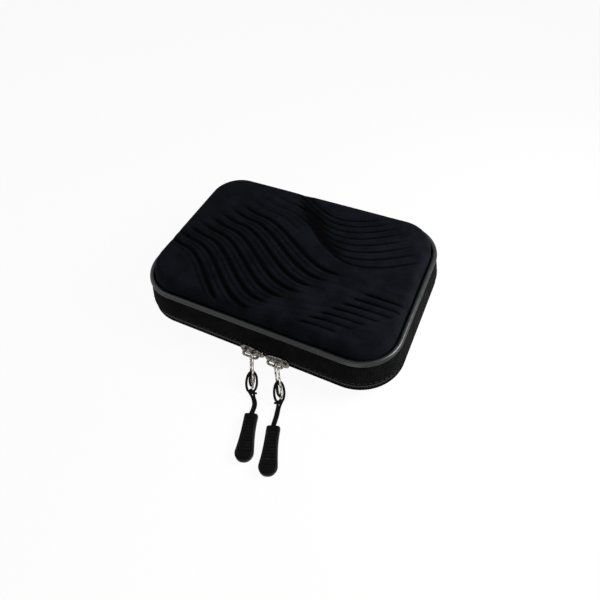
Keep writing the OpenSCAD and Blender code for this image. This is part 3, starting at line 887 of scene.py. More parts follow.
@dataclass(frozen=True)
class Foam(Finish):
    """Closed-cell foam, cut or pressed, with small open pores."""

    dark: tuple = (0.018, 0.019, 0.021)
    pale: tuple = (0.032, 0.033, 0.036)

    def look(self, sketch: Sketch, place: Socket) -> dict[str, object]:
        """Pores in the bump, and in the colour as painted shade that darkens them, under a random mottle."""
        pores, mottle = EffectGroup.GRAIN.outputs(sketch, place, 0.45)
        # Painted shade: darker in the pits of the pores, varied by a random mottle.
        share = sketch.times(pores, sketch.fade(mottle, 0, 1, 0.6, 1.0))
        return dict(Base_Color=sketch.colours(share, self.dark, self.pale),
                    Roughness=sketch.fade(pores, 0, 1, 0.96, 0.86), Normal=sketch.bump(pores, 0.8, 0.12))


@dataclass(frozen=True)
class Lining(Finish):
    """Brushed lining cloth with a short soft nap over a fine knit."""

    dark: tuple = (0.0085, 0.0088, 0.0096)
    pale: tuple = (0.0190, 0.0195, 0.0210)

    def look(self, sketch: Sketch, place: Socket) -> dict[str, object]:
        """Nap in the bump, swept patches in the colour."""
        loops, _ = EffectGroup.KNIT.outputs(sketch, place, 0.8)
        nap = sketch.noise(place, 2.4, 4.0, 0.65)
        swept = sketch.fade(sketch.noise(place, 0.05, 2.0), 0.35, 0.65)
        share = sketch.weighted(nap, 0.6, swept, 0.4)
        return dict(Base_Color=sketch.colours(share, self.dark, self.pale),
                    Roughness=sketch.fade(nap, 0.3, 0.7, 0.86, 0.96), Sheen_Weight=0.12, Sheen_Roughness=0.5,
                    Specular_IOR_Level=0.1, Normal=sketch.bump(loops, 0.4, 0.07, sketch.bump(nap, 0.5, 0.15)))


@dataclass(frozen=True)
class Elastic(Finish):
    """Woven elastic: raised ribs along its length, crossed by fine weft."""

    dark: tuple = (0.0040, 0.0041, 0.0043)
    pale: tuple = (0.0150, 0.0152, 0.0156)
    rib: float = 1.2

    def look(self, sketch: Sketch, place: Socket) -> dict[str, object]:
        """Ribs across the first coordinate, weft along the second; the colour is paler where they stand high,
        painted light on them and painted shade between them.
        """
        parts = sketch.node("SeparateXYZ", {0: place}).outputs
        rib = sketch.math("ABSOLUTE", sketch.math("SINE", sketch.times(parts[0], np.pi / self.rib)))
        threads, _ = EffectGroup.WEAVE.outputs(sketch, place, 0.4)
        height = sketch.weighted(rib, 0.7, threads, 0.3)
        # Painted light and shade: paler on the raised ribs and threads, darker between them.
        return dict(Base_Color=sketch.colours(height, self.dark, self.pale),
                    Roughness=sketch.fade(threads, 0, 1, 0.76, 0.6), Sheen_Weight=0.03,
                    Specular_IOR_Level=0.25, Normal=sketch.bump(height, 0.8, 0.2))


@dataclass(frozen=True)
class PlatedMetal(Finish):
    """Warm nickel plate, cast or drawn, with fine scratches and a darker, rougher mottle."""

    bright: tuple = (0.24, 0.222, 0.195)
    dull_colour: tuple = (0.028, 0.025, 0.021)
    smooth: float = 0.14
    dull: float = 0.40
    cast: float = 0.03

    def look(self, sketch: Sketch, place: Socket) -> dict[str, object]:
        """A dark mottle in the colour and roughness, scratches and casting texture in the bump."""
        # Random dark patches, rougher where they are dark.
        dark_mottle = sketch.fade(sketch.noise(place, 0.7, 5.0, 0.6), 0.38, 0.62)
        turned = sketch.node("Mapping", {"Vector": place, "Rotation": (0.3, 0.5, 0.9), "Scale": (1, 14, 14)})
        scratches = sketch.fade(sketch.noise(turned.outputs[0], 0.9, 2.0), 0.60, 0.72)
        skin = sketch.noise(place, 2.2, 3.0)
        rough = sketch.fade(sketch.plus(dark_mottle, sketch.times(scratches, 0.5)), 0, 1.5,
                            self.smooth, self.dull)
        return dict(Base_Color=sketch.colours(dark_mottle, self.bright, self.dull_colour),
                    Metallic=1.0, Roughness=rough,
                    Normal=sketch.bump(scratches, 0.2, 0.01, sketch.bump(skin, 0.5, self.cast)))


@dataclass(frozen=True)
class BraidedCord(Finish):
    """Braided cord: strands that cross in diamonds round the cord."""

    dark: tuple = (0.0020, 0.0021, 0.0022)
    pale: tuple = (0.0060, 0.0061, 0.0064)
    strand: float = 0.34

    def look(self, sketch: Sketch, place: Socket) -> dict[str, object]:
        """A weave that is turned by 45 degrees to the cord; its colour is paler on the strands' tops, painted
        light, and darker between them, painted shade.
        """
        turned = sketch.node("Mapping", {"Vector": place, "Rotation": (0, 0, np.pi / 4)}).outputs[0]
        strands, _ = EffectGroup.WEAVE.outputs(sketch, turned, self.strand)
        # Painted light on the strands' tops and painted shade between them.
        return dict(Base_Color=sketch.colours(strands, self.dark, self.pale),
                    Roughness=sketch.fade(strands, 0, 1, 0.80, 0.62), Sheen_Weight=0.01,
                    Specular_IOR_Level=0.04, Normal=sketch.bump(strands, 0.9, 0.12))


SHELL_CLOTH = KnitCloth("shell_knit", "shell_cloth")
BAND_NYLON = WovenNylon("band_weave", "woven_nylon", Coordinates.SURFACE)
STRIP_NYLON = WovenNylon("strip_weave", "woven_nylon", Coordinates.SURFACE, thread=0.5)
ZIP_TAPE = Tape("zip_tape_weave", "zip_tape")
BINDING = Tape("binding_weave", "binding_tape", Coordinates.SURFACE, thread=0.42)
# Its pale and dark are painted light on the thread tops and painted shade between them.
THREAD = Tape("sewing_thread", "binding_tape", thread=0.2, dark=(0.006, 0.006, 0.0062),
              pale=(0.018, 0.018, 0.019))
PIPING_SKIN = Vinyl("piping_skin", "piping_vinyl")
COIL_NYLON = Plastic("coil_nylon", "zip_teeth", grain=0.3, smooth=0.30, dull=0.44)
GRIP_RUBBER = Plastic("grip_rubber_skin", "grip_rubber", dark=(0.0014, 0.0014, 0.0016),
                      worn=(0.0052, 0.0052, 0.0054), grain=0.26, depth=0.03, smooth=0.30, dull=0.50,
                      gloss=0.05)
SHELL_FOAM = Foam("pressed_foam", "foam")
SHELL_LINING = Lining("brushed_lining", "lining_cloth")
STRAP_ELASTIC = Elastic("strap_elastic_weave", "elastic", Coordinates.SURFACE)
# Its pale and dark are painted light on the yarn's tops and painted shade between them.
NET_YARN = Tape("net_yarn", "mesh", thread=0.25, dark=(0.006, 0.006, 0.0065), pale=(0.022, 0.022, 0.023))
SLIDER_METAL = PlatedMetal("cast_nickel", "slider_metal", cast=0.06)
WIRE_METAL = PlatedMetal("drawn_nickel", "wire_metal", bright=(0.46, 0.44, 0.41),
                         dull_colour=(0.060, 0.055, 0.046), smooth=0.12, dull=0.30, cast=0.015)
STOP_METAL = PlatedMetal("stop_nickel", "stop_metal", bright=(0.42, 0.41, 0.39))
PULL_CORD = BraidedCord("pull_braid", "pull_cord", Coordinates.SURFACE)


def dress(surface: Surface, name: str, finish: Finish, body: str, replaces: Iterable[str] = (),
          closed: bool = True) -> bpy.types.Object:
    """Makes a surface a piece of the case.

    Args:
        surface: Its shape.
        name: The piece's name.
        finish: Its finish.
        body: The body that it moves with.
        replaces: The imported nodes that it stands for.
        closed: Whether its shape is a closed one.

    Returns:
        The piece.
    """
    piece = surface.to_object(name, finish, closed)
    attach(piece, body)
    nodes = list(replaces)
    if nodes:
        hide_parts(*nodes)
    LOG.info("%s: %d faces on %s", name, len(piece.data.polygons), body)
    return piece


# The lid


@dataclass(frozen=True)
class WavePoint:
    """Where a family of lines turns: the place on line 0, the step from line to line, and a curve in x."""

    x: float
    y: float
    step_x: float
    step_y: float
    curve_x: float = 0.0

    def on(self, k: float) -> tuple[float, float]:
        """The place on line k: (x + step k + curve k^2, y + step k)."""
        return self.x + self.step_x * k + self.curve_x * k ** 2, self.y + self.step_y * k


CREST = WavePoint(-32, 18.5, -4.3, -5.6)
VALLEY = WavePoint(30, -8, -5.5, -6.3)
SECOND_CREST = WavePoint(73, -10, -5.6, -4.6)
BACK_VALLEY = WavePoint(36, 1.7, -4.6, 4.5, 0.25)


@dataclass(frozen=True)
class Groove:
    """One groove: its line y(x), where along x it has its full strength, and its width as a share."""

    line: Callable[[np.ndarray], np.ndarray]
    low: float
    high: float
    strength: float
    narrow: float
    soft: float = 14.0

    def strength_at(self, x: np.ndarray) -> np.ndarray:
        """Its strength between low and high, fading to 0 over a soft stretch outside them."""
        window = swell(x, self.low - self.soft, self.low) * (1 - swell(x, self.high, self.high + self.soft))
        return self.strength * window


@dataclass(frozen=True)
class Waves:
    """Wavy grooves moulded in the lid, as lines y(x) that are numbered from the back to the front.

    The front lines fall from a crest at the left through a steep flank into a valley, and rise again
    to a low second crest at the right. The back lines hang between the case's back corners.
    """

    front_count: int = 8
    back_count: int = 8
    faint_count: int = 3
    faint: float = 0.45
    width: float = 1.45
    depth: float = 1.2
    deepest: float = 1.06
    probe: float = 0.5
    before_slope: float = 0.3
    back_left: tuple = (17, 42)
    back_right: tuple = (26, 60)

    def front_line(self, k: float, x: np.ndarray) -> np.ndarray:
        """Line k of the front family: crest, cosine flank, valley, cosine rise to the second crest."""
        (crest_x, crest_y), (valley_x, valley_y), (second_x, second_y) = (
            point.on(k) for point in (CREST, VALLEY, SECOND_CREST))
        before = self.before_slope * np.clip(crest_x - x, 0, None)
        return (crest_y + before + (valley_y - crest_y) * swell(x, crest_x, valley_x)
                + (second_y - valley_y) * swell(x, valley_x, second_x))

    def back_line(self, k: float, x: np.ndarray) -> np.ndarray:
        """Line k of the back family, counted backwards: a valley that rises to both sides."""
        valley_x, valley_y = BACK_VALLEY.on(k)
        (left_rise, left_run), (right_rise, right_run) = self.back_left, self.back_right
        return (valley_y + left_rise * (1 - swell(x, valley_x - left_run, valley_x))
                + right_rise * swell(x, valley_x, valley_x + right_run))

    def grooves(self) -> Iterator[Groove]:
        """The grooves of both families, whose stretches along x are given.

        A narrower, weaker one follows each line, half a step on.
        """
        for k in range(-self.faint_count, self.front_count):
            crest_x, valley_x, second_x = (point.on(k)[0] for point in (CREST, VALLEY, SECOND_CREST))
            full = 1.0 if k >= 0 else self.faint
            low, high = crest_x - 4, valley_x - 6 - 1.5 * max(k - 4, 0) if k >= 0 else crest_x + 20
            line = partial(self.front_line, k)
            yield Groove(line, low, high, full, 1.0)
            yield Groove(partial(self.front_line, k + 0.5), low + 6, high, 0.5 * full, 0.55)
            if k >= 0:
                yield Groove(line, high, second_x - 10, 0.30, 0.7)
            if k > 0:
                yield Groove(line, second_x - 16 + 1.5 * k, second_x + 9, 0.7, 0.7, soft=6.0)
        for k in range(self.back_count):
            low, high = BACK_VALLEY.on(k)[0] - 19 - 1.6 * k, 62 - 4 * k
            yield Groove(partial(self.back_line, k), low, high, 0.8, 0.72)
            yield Groove(partial(self.back_line, k + 0.5), low, high, 0.35, 0.55)

    def height(self, x: np.ndarray, y: np.ndarray) -> np.ndarray:
        """Depth of the relief below the ridges: the sum over the lines of strength * exp(-(d / width)^2).

        The distance d from a line is the distance in y, divided by sqrt(1 + slope^2) of the line there.

        Args:
            x: Places to the right.
            y: Places to the back.

        Returns:
            Height of the cloth against its ridges, in shares of the depth, zero or less.
        """
        relief = np.zeros_like(x)
        for groove in self.grooves():
            slope = (groove.line(x + self.probe) - groove.line(x - self.probe)) / (2 * self.probe)
            away = (y - groove.line(x)) / np.sqrt(1 + slope ** 2)
            relief -= groove.strength_at(x) * np.exp(-(away / (self.width * groove.narrow)) ** 2)
        return np.maximum(relief, -self.deepest)


@dataclass
class LidShell:
    """The lid: moulded dome, piping, band, lining and binding."""

    form: CaseForm
    waves: Waves
    dome_step: float = 0.5
    hem_step: float = 2.5
    lining_step: float = 2.0
    wall_step: float = 1.4
    ridge_rise: float = 0.65
    crown: float = 0.45
    crease_depth: float = 0.28
    crease_at: float = 18.0
    crease_w: float = 0.16
    flange_l: float = 5.0
    band_bow: float = 0.35
    band_edge: float = 0.35
    rib_h: float = 0.10
    rib_rises: tuple = (1.3, 2.3)
    rib_w: float = 0.16
    seam_rise: float = 1.8
    seam_lift: float = 0.06
    shelf_t: float = 1.6
    binding_h: float = 1.2
    binding_out: float = 0.6
    binding_in: float = 0.3
    seam_in: float = 1.0
    seam_drop: float = 1.22

    def build(self) -> None:
        """Makes every piece of the lid."""
        self.dome()
        self.piping()
        self.band()
        self.lining()
        self.binding()

    def dome(self) -> bpy.types.Object:
        """The moulded skin: a grid over the core and the dome's section carried round it, both in relief."""
        form = self.form
        path = form.path(self.dome_step)
        section = form.dome_profile(0.0, self.dome_step)
        x, y = np.meshgrid(*(np.linspace(-half, half, 2 * round(half / self.dome_step) + 1)
                             for half in (form.core_x, form.core_y)), indexing="ij")
        middle = Surface.grid(np.stack([x, y, np.full_like(x, form.top_z)], axis=-1), x[:, 0], y[0])
        skin = Surface.joined([path.carry(section), middle])
        share = self.relief_share(skin.points)
        depth = -self.waves.height(skin.points[:, 0], skin.points[:, 1]) * share
        skin.points = self.in_relief(skin.points, share, depth)
        inner = path.carry(np.concatenate([section[:1], form.dome_profile(form.cover_t, self.hem_step)]))
        whole = Surface.joined([skin, inner, flat_core(path, form, form.top_z - form.cover_t)])
        # Painted shade: the grooves' depth, which darkens the cloth's colour in them.
        whole.shade = np.r_[depth, np.zeros(len(whole.points) - len(depth))]
        return dress(whole, "lid_skin", SHELL_CLOTH, Half.LID.value, ["lid_cover"])

    def relief_share(self, points: np.ndarray) -> np.ndarray:
        """How much of the relief the moulded dome has at each point: all on top, none on the wall."""
        inward = np.clip((points[:, 2] - (self.form.top_z - self.form.dome_r)) / self.form.dome_r, 0, 1)
        return swell(inward, 0.55, 0.97)

    def in_relief(self, points: np.ndarray, share: np.ndarray, depth: np.ndarray) -> np.ndarray:
        """Points of the flat dome, with the waves' depth and a slight crown in them.

        Args:
            points: Points of the flat dome.
            share: How much of the relief each of them has.
            depth: The grooves' depth at each, in shares of the full one.

        Returns:
            The moved points: z + share * (ridge rise + crown) - depth of the waves * depth.
        """
        form = self.form
        half_x, half_y = form.core_x + form.corner_r, form.core_y + form.corner_r
        crown = self.crown * (1 - (points[:, 0] / half_x) ** 2) * (1 - (points[:, 1] / half_y) ** 2)
        moved = points.copy()
        moved[:, 2] += share * (self.ridge_rise + crown) - self.waves.depth * depth
        return moved

    def round_case(self, section: np.ndarray, name: str, finish: Finish, node: str) -> bpy.types.Object:
        """A section carried round the whole case, as a piece of the lid."""
        surface = self.form.path(self.wall_step).carry(section)
        return dress(surface, name, finish, Half.LID.value, [node])

    def piping(self) -> bpy.types.Object:
        """The bead with its sewn edge: a circle with one crease, and the flange behind the band."""
        form = self.form
        angles = np.radians(np.linspace(-125, 215, 61))
        crease = self.crease_depth * np.exp(-((angles - np.radians(self.crease_at)) / self.crease_w) ** 2)
        radius = form.bead_r - crease
        bead = np.stack([form.corner_r + radius * np.cos(angles),
                         form.piping_z + radius * np.sin(angles)], axis=1)
        high = form.band_top[1]
        low = high - self.flange_l
        flange = np.array([[form.band_u(z, depth), z] for depth, z in (
            (form.flange_depth, high), (form.flange_depth, low), (form.band_t, low), (form.band_t, high))])
        section = np.concatenate([bead, flange, bead[:1]])
        return self.round_case(section, "piping", PIPING_SKIN, "lid_piping")

    def band(self) -> bpy.types.Object:
        """The woven band: slightly bowed outwards, rolled at its low edge, with sewn ribs above that edge."""
        form = self.form
        low, high = form.band_low_z, form.band_top[1]
        z = np.linspace(low + self.band_edge, high, 60)
        share = (z - low) / (high - low)
        bow = self.band_bow * np.sin(np.pi * share)
        ribs = sum(self.rib_h * np.exp(-((z - low - rise) / self.rib_w) ** 2) for rise in self.rib_rises)
        face = np.stack([form.band_u(z) + bow - 2 * ribs, z], axis=1)
        half_t = form.band_t / 2
        roll = arc((form.band_low_u - half_t, low + half_t), half_t, -180, 0, 8)
        back = np.stack([form.band_u(z[::-20], form.band_t), z[::-20]], axis=1)
        seam_z = low + self.seam_rise
        seam_u = float(np.interp(seam_z, face[:, 1], face[:, 0])) + self.seam_lift
        StitchRow(seam_u, seam_z).round_case(form, "band_stitches", Half.LID.value)
        section = np.concatenate([roll, face, back, roll[:1]])
        return self.round_case(section, "band", BAND_NYLON, "lid_band")

    def lining(self) -> bpy.types.Object:
        """The lid's lining: the dome's inside, a step under the shelf, and down behind the band."""
        form = self.form
        depth = form.cover_t + form.dome_foam_t
        layers = []
        for extra in (0.0, form.lining_t):
            dome = form.dome_profile(depth + extra, self.lining_step)[::-1]
            shelf = form.shelf_z - self.shelf_t - extra
            behind = form.flange_depth + form.band_foam_t + extra
            wall = [[form.band_u(z, behind), z] for z in (shelf, form.foam_low_z)]
            layers.append(np.concatenate([[[0.0, dome[0, 1]]], dome[1:], [[dome[-1, 0], shelf]], wall]))
        path = form.path(self.wall_step)
        high = form.top_z - depth
        pieces = [path.carry(np.concatenate([layers[1], layers[0][::-1]])),
                  *(flat_core(path, form, z) for z in (high, high - form.lining_t))]
        return dress(Surface.joined(pieces), "lid_lining_cloth", SHELL_LINING, Half.LID.value, ["lid_lining"])

    def binding(self) -> bpy.types.Object:
        """The folded tape over the low edge of the foam and lining, with its row of stitches."""
        form = self.form
        high = form.foam_low_z
        outer_u = form.tape_u - form.tape_t - self.binding_out
        behind = form.flange_depth + form.band_foam_t + form.lining_t
        inner_u = form.band_u(high, behind) - self.binding_in
        surface = rolled_strip(form, (inner_u, high - self.binding_h), (outer_u, high), self.wall_step)
        StitchRow(inner_u + self.seam_in, high - self.seam_drop).round_case(
            form, "lid_edge_stitches", Half.LID.value)
        return dress(surface, "lid_edge_binding", BINDING, Half.LID.value, ["lid_binding"])


def flat_core(path: Path, form: CaseForm, z: float) -> Surface:
    """A flat patch over the core rectangle, in strips between facing points of its front and back edges."""
    at = np.unique(np.round(path.core[np.isclose(path.core[:, 1], form.core_y), 0], 6))
    rows = np.stack([np.stack([at, np.full(len(at), y), np.full(len(at), z)], axis=1)
                     for y in (-form.core_y, form.core_y)], axis=1)
    return Surface.grid(rows, at, np.array([-form.core_y, form.core_y]))


def rolled_strip(form: CaseForm, inner_low: tuple[float, float], outer_high: tuple[float, float],
                 step: float) -> Surface:
    """A strip of tape carried round the case: its section is a box with rounded corners."""
    (inner_u, low), (outer_u, high) = inner_low, outer_high
    r = min(high - low, outer_u - inner_u) * 0.45
    right, left = outer_u - r, inner_u + r
    corners = ((right, low + r), (right, high - r), (left, high - r), (left, low + r))
    section = np.concatenate([arc(centre, r, start, start + 90, 4)
                              for centre, start in zip(corners, (-90, 0, 90, 180))])
    return form.path(step).carry(np.concatenate([section, section[:1]]))


@dataclass(frozen=True)
class StitchRow:
    """A row of machine stitches round the case, each a short pulled-in thread."""

    u: float
    z: float
    pitch: float = 3.0
    length: float = 2.2
    steps: int = 7

    def stitch(self) -> Surface:
        """One stitch on its own axes: a thread along X whose ends dip by a square of the distance."""
        x = np.linspace(-self.length / 2, self.length / 2, self.steps)
        dip = -THREAD_R * 2 * (2 * x / self.length) ** 2
        return tube(np.column_stack([x, dip, np.zeros(self.steps)]), THREAD_R, 6, UP, round_ends=False)

    def round_case(self, form: CaseForm, name: str, body: str) -> bpy.types.Object:
        """The whole row, at the row's distance out and height.

        Args:
            form: The case's sizes.
            name: The piece's name.
            body: The body that it moves with.

        Returns:
            The row of stitches.
        """
        path = form.path()
        seats, axes = path.seats(self.u, self.z, np.arange(self.pitch / 2, path.run(self.u)[-1], self.pitch))
        return dress(self.stitch().repeated(seats, axes), name, THREAD, body, closed=False)


def bar_tack(low: np.ndarray, high: np.ndarray, count: int) -> Surface:
    """A zigzag of thread over a cloth's end, at the height of its high corner.

    Args:
        low: Lowest corner.
        high: Highest corner.
        count: Strokes there and back in Y, from the low to the high end in X.

    Returns:
        The thread's tube.
    """
    steps = np.arange(2 * count + 1)
    points = np.column_stack([low[0] + (high[0] - low[0]) * steps / steps[-1],
                              np.where(steps % 2, high[1], low[1]), np.full(len(steps), high[2])])
    return tube(points, THREAD_R, 6, UP)


# The base


@dataclass
class BaseShell:
    """The base: skin, lining, woven strip, binding and the elastic strap with its sewn ends."""

    form: CaseForm
    wall_step: float = 1.4
    skirt: float = 4.7
    strip_t: float = 0.7
    binding_in: float = 2.0
    binding_out: float = 0.1
    seam_in: float = 1.5
    seam_lift: float = 0.02
    tab_l: float = 6.0
    tack_edges: tuple = (1.2, 3.8)
    tack_w: float = 1.0
    tack_inset: float = 2.0
    tack_strokes: int = 36
    tack_lift: float = 0.05
    ribbon_step: float = 1.2
    tab_step: float = 1.0

    def build(self) -> None:
        """Makes every piece of the base."""
        self.layer("base_skin", SHELL_CLOTH, 0.0, self.form.cover_t, "base_cover")
        inner = self.form.cover_t + self.form.base_foam_t
        self.layer("base_lining_cloth", SHELL_LINING, inner, inner + self.form.lining_t, "base_lining")
        self.strip()
        self.binding()
        self.strap()

    def layer(self, name: str, finish: Finish, outside: float, inside: float, node: str) -> bpy.types.Object:
        """One layer of the pressed shell between two depths, with the flat bottom filled in."""
        path = self.form.path(self.wall_step)
        section = np.concatenate([self.form.base_profile(outside), self.form.base_profile(inside)[::-1]])
        bottoms = [flat_core(path, self.form, depth) for depth in (outside, inside)]
        return dress(Surface.joined([path.carry(section), *bottoms]), name, finish, Half.BASE.value, [node])

    def strip(self) -> bpy.types.Object:
        """The narrow woven strip under the zip: upright beside the teeth, then leaning down the wall."""
        form = self.form
        low = form.rim_z - self.skirt
        lean = np.tan(np.radians(form.base_lean))
        top = node_box("base_band")[1][2]
        inside = np.array([[form.tape_u, top], [form.tape_u, form.rim_z],
                           [form.tape_u - (form.rim_z - low) * lean, low]])
        half_t = self.strip_t / 2
        bend = smooth_line(inside[::-1] + [self.strip_t, 0.0], 8)
        edge = arc((form.tape_u + half_t, top - half_t), half_t, 0, 180, 6)
        section = np.concatenate([bend[:-1], edge, inside[1:], bend[:1]])
        surface = form.path(self.wall_step).carry(section)
        return dress(surface, "base_strip", STRIP_NYLON, Half.BASE.value, ["base_band"])

    def binding(self) -> bpy.types.Object:
        """The folded tape over the base's rim, with its row of stitches."""
        form = self.form
        low, high = (corner[2] for corner in node_box("base_binding"))
        depth = form.cover_t + form.base_foam_t + form.lining_t
        inner_u = form.tape_u - depth / np.cos(np.radians(form.base_lean)) - self.binding_in
        outer_u = form.tape_u - form.tape_t - self.binding_out
        surface = rolled_strip(form, (inner_u, low), (outer_u, high), self.wall_step)
        StitchRow((inner_u + outer_u) / 2 - self.seam_in, high + self.seam_lift).round_case(
            form, "base_edge_stitches", Half.BASE.value)
        return dress(surface, "base_edge_binding", BINDING, Half.BASE.value, ["base_binding"])

    def strap(self) -> None:
        """The strap across the base: a ribbon with rounded edges, and its doubled ends with bar tacks."""
        low, high = node_box("elastic_strap")
        ribbon = cloth_bar(low, high, (high[2] - low[2]) / 2, self.ribbon_step)
        dress(ribbon, "drive_strap", STRAP_ELASTIC, Half.BASE.value, ["elastic_strap"])
        low, high = node_box("strap_tabs")
        tabs, tacks = [], []
        for side, near in ((-1, low[1]), (1, high[1])):
            ends = sorted([near, near - side * self.tab_l])
            tabs.append(cloth_bar(np.array([low[0], ends[0], low[2]]), np.array([high[0], ends[1], high[2]]),
                                  (high[2] - low[2]) / 2, self.tab_step))
            for edge in self.tack_edges:
                ends = sorted([near - side * edge, near - side * (edge + self.tack_w)])
                tack_low = np.array([low[0] + self.tack_inset, ends[0], 0])
                tack_high = np.array([high[0] - self.tack_inset, ends[1], high[2] + self.tack_lift])
                tacks.append(bar_tack(tack_low, tack_high, self.tack_strokes))
        dress(Surface.joined(tabs), "strap_sewn_ends", STRAP_ELASTIC, Half.BASE.value, ["strap_tabs"])
        dress(Surface.joined(tacks), "strap_bar_tacks", THREAD, Half.BASE.value)


def cloth_bar(low: np.ndarray, high: np.ndarray, edge_r: float, step: float) -> Surface:
    """A flat ribbon along Y with rounded long edges, closed at both ends.

    Args:
        low: Lowest corner.
        high: Highest corner.
        edge_r: Radius of the long edges, at most half its thickness.
        step: Distance between points along it.

    Returns:
        Its surface, the section being a flat oval in X and Z.
    """
    middle, half_x = ((low + high) / 2)[[0, 2]], (high[0] - low[0]) / 2
    right = arc((middle[0] + half_x - edge_r, middle[1]), edge_r, -90, 90, 8)
    left = arc((middle[0] - half_x + edge_r, middle[1]), edge_r, 90, 270, 8)
    across = np.linspace(0, 1, 25)[1:-1, None]
    section = np.concatenate([right, right[-1] + (left[0] - right[-1]) * across, left,
                              left[-1] + (right[0] - left[-1]) * across, right[:1]])
    places = np.linspace(low[1], high[1], max(2, round((high[1] - low[1]) / step)) + 1)
    ends, flat = capped(places, section, middle)
    y = np.broadcast_to(ends[:, None], flat.shape[:2])
    points = np.stack([flat[..., 0], y, flat[..., 1]], axis=-1)
    return Surface.grid(points[:, ::-1], np.broadcast_to(section[None, ::-1, 0], flat.shape[:2]), y)


# The zip


@dataclass
class Zip:
    """Two rows of moulded teeth round three sides, their stops, and the cloth hinge."""

    form: CaseForm
    pitch: float = 1.5
    tooth_w: float = 0.95
    tooth_half: float = 0.75
    overlap: float = 0.35
    end_gap: float = 2.6
    stop_l: float = 2.4
    stop_r: float = 0.25
    hinge_rise: float = 5.0
    hinge_gap: float = 0.15
    fold_rise: float = 0.9

    def build(self) -> None:
        """Makes both rows, the hinge and the stops."""
        self.row(Half.BASE, 0.0)
        self.row(Half.LID, 0.5)
        self.hinge()
        for half in Half:
            self.stops(half)

    def row(self, half: Half, shift: float) -> bpy.types.Object:
        """One row: round-headed teeth at an even pitch, whose heads reach between those of the other row.

        Args:
            half: The half that the row is sewn to.
            shift: Share of the pitch by which the row is moved along.

        Returns:
            The row of teeth.
        """
        form, node = self.form, f"{half.value}_coil"
        low, high = node_box(node)
        middle_u = high[0] - form.core_x - self.tooth_half
        path = form.path()
        start = form.hinge_half + self.end_gap
        places = np.arange(start + shift * self.pitch, path.run(middle_u)[-1] - start, self.pitch)
        foot, head = ((low[2], form.zip_z + self.overlap) if half is Half.BASE
                      else (high[2], form.zip_z - self.overlap))
        teeth = self.tooth(head - foot).repeated(*path.seats(middle_u, foot, places))
        return dress(teeth, f"{half.value}_teeth", COIL_NYLON, half.value, [node])

    def tooth(self, reach: float) -> Surface:
        """One tooth that stands on its foot: an oval post with a bulging head, z = reach * t."""
        t = np.array([0.0, 0.0, 0.12, 0.45, 0.72, 0.88, 0.97, 1.0])
        bulge = np.array([0.0, 0.80, 0.86, 0.80, 1.0, 0.92, 0.55, 0.0])
        angles = np.linspace(0, TURN, 9)
        points = np.stack([
            self.tooth_w / 2 * bulge[:, None] * np.cos(angles),
            self.tooth_half * np.minimum(bulge * 1.15, 1.0)[:, None] * np.sin(angles),
            np.broadcast_to((reach * t)[:, None], (len(t), len(angles)))], axis=-1)
        return Surface.grid(points)

    def stops(self, half: Half) -> bpy.types.Object:
        """Crimped stops that end a row beside the hinge: small blocks with pillowed faces."""
        node = f"{half.value}_zip_stops"
        low, high = node_box(node)
        blocks = [pillow(np.array([x, *low[1:]]), np.array([x + self.stop_l, *high[1:]]), self.stop_r)
                  for x in (low[0], high[0] - self.stop_l)]
        return dress(Surface.joined(blocks), f"{half.value}_row_stops", STOP_METAL, half.value, [node])

    def hinge(self) -> bpy.types.Object:
        """The cloth hinge: a strip that is upright at the zip and leans in behind the band."""
        form = self.form
        high = form.band_low_z + self.hinge_rise
        upright = np.linspace(form.rim_z, form.band_low_z, 17)
        lean = np.linspace(form.band_low_z, high, 9)[1:]
        face = np.concatenate([
            np.stack([np.full(len(upright), form.tape_u), upright], axis=1),
            np.stack([form.band_u(lean, form.band_t), lean], axis=1)])
        section = np.concatenate([face, (face - [form.tape_t, 0])[::-1], face[:1]])
        turns = np.array([[form.tape_u, form.rim_z], [form.tape_u, form.band_low_z],
                          [form.band_u(high, form.band_t), high]])
        reach = form.hinge_half - self.hinge_gap
        ends, flat = capped(np.linspace(reach, -reach, 61), section,
                            turns.mean(axis=0) - [form.tape_t / 2, 0])
        points = np.stack([np.broadcast_to(ends[:, None], flat.shape[:2]), form.core_y + flat[..., 0],
                           flat[..., 1]], axis=-1)
        piece = Surface.grid(points, ends, running(section)).to_object("cloth_hinge", STRIP_NYLON)
        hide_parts("hinge_cloth")
        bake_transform(piece)
        LOG.info("cloth_hinge: bends from base to lid")
        return piece


def pillow(low: np.ndarray, high: np.ndarray, r: float) -> Surface:
    """A block with rounded edges: rings of a rounded square, drawn in towards both ends along X."""
    size, centre = high - low, (low + high) / 2
    across, upward = squared(np.linspace(0, TURN, 25), 0.45)
    ring = np.stack([across * size[1] / 2, upward * size[2] / 2], axis=1)
    bend = np.radians([0, 30, 60, 90])
    inset, inward = r * (1 - np.sin(bend)), r * (1 - np.cos(bend))
    ends = np.r_[0.0, inward, size[0] - inward[::-1], size[0]]
    small = min(size[1], size[2]) / 2
    scale = np.r_[0.0, np.clip(1 - np.r_[inset, inset[::-1]] / small, 0, 1), 0.0]
    flat = ring[None] * scale[:, None, None]
    points = np.stack([np.broadcast_to((low[0] + ends)[:, None], flat.shape[:2]), centre[1] + flat[..., 0],
                       centre[2] + flat[..., 1]], axis=-1)
    return Surface.grid(points)


# The net pocket


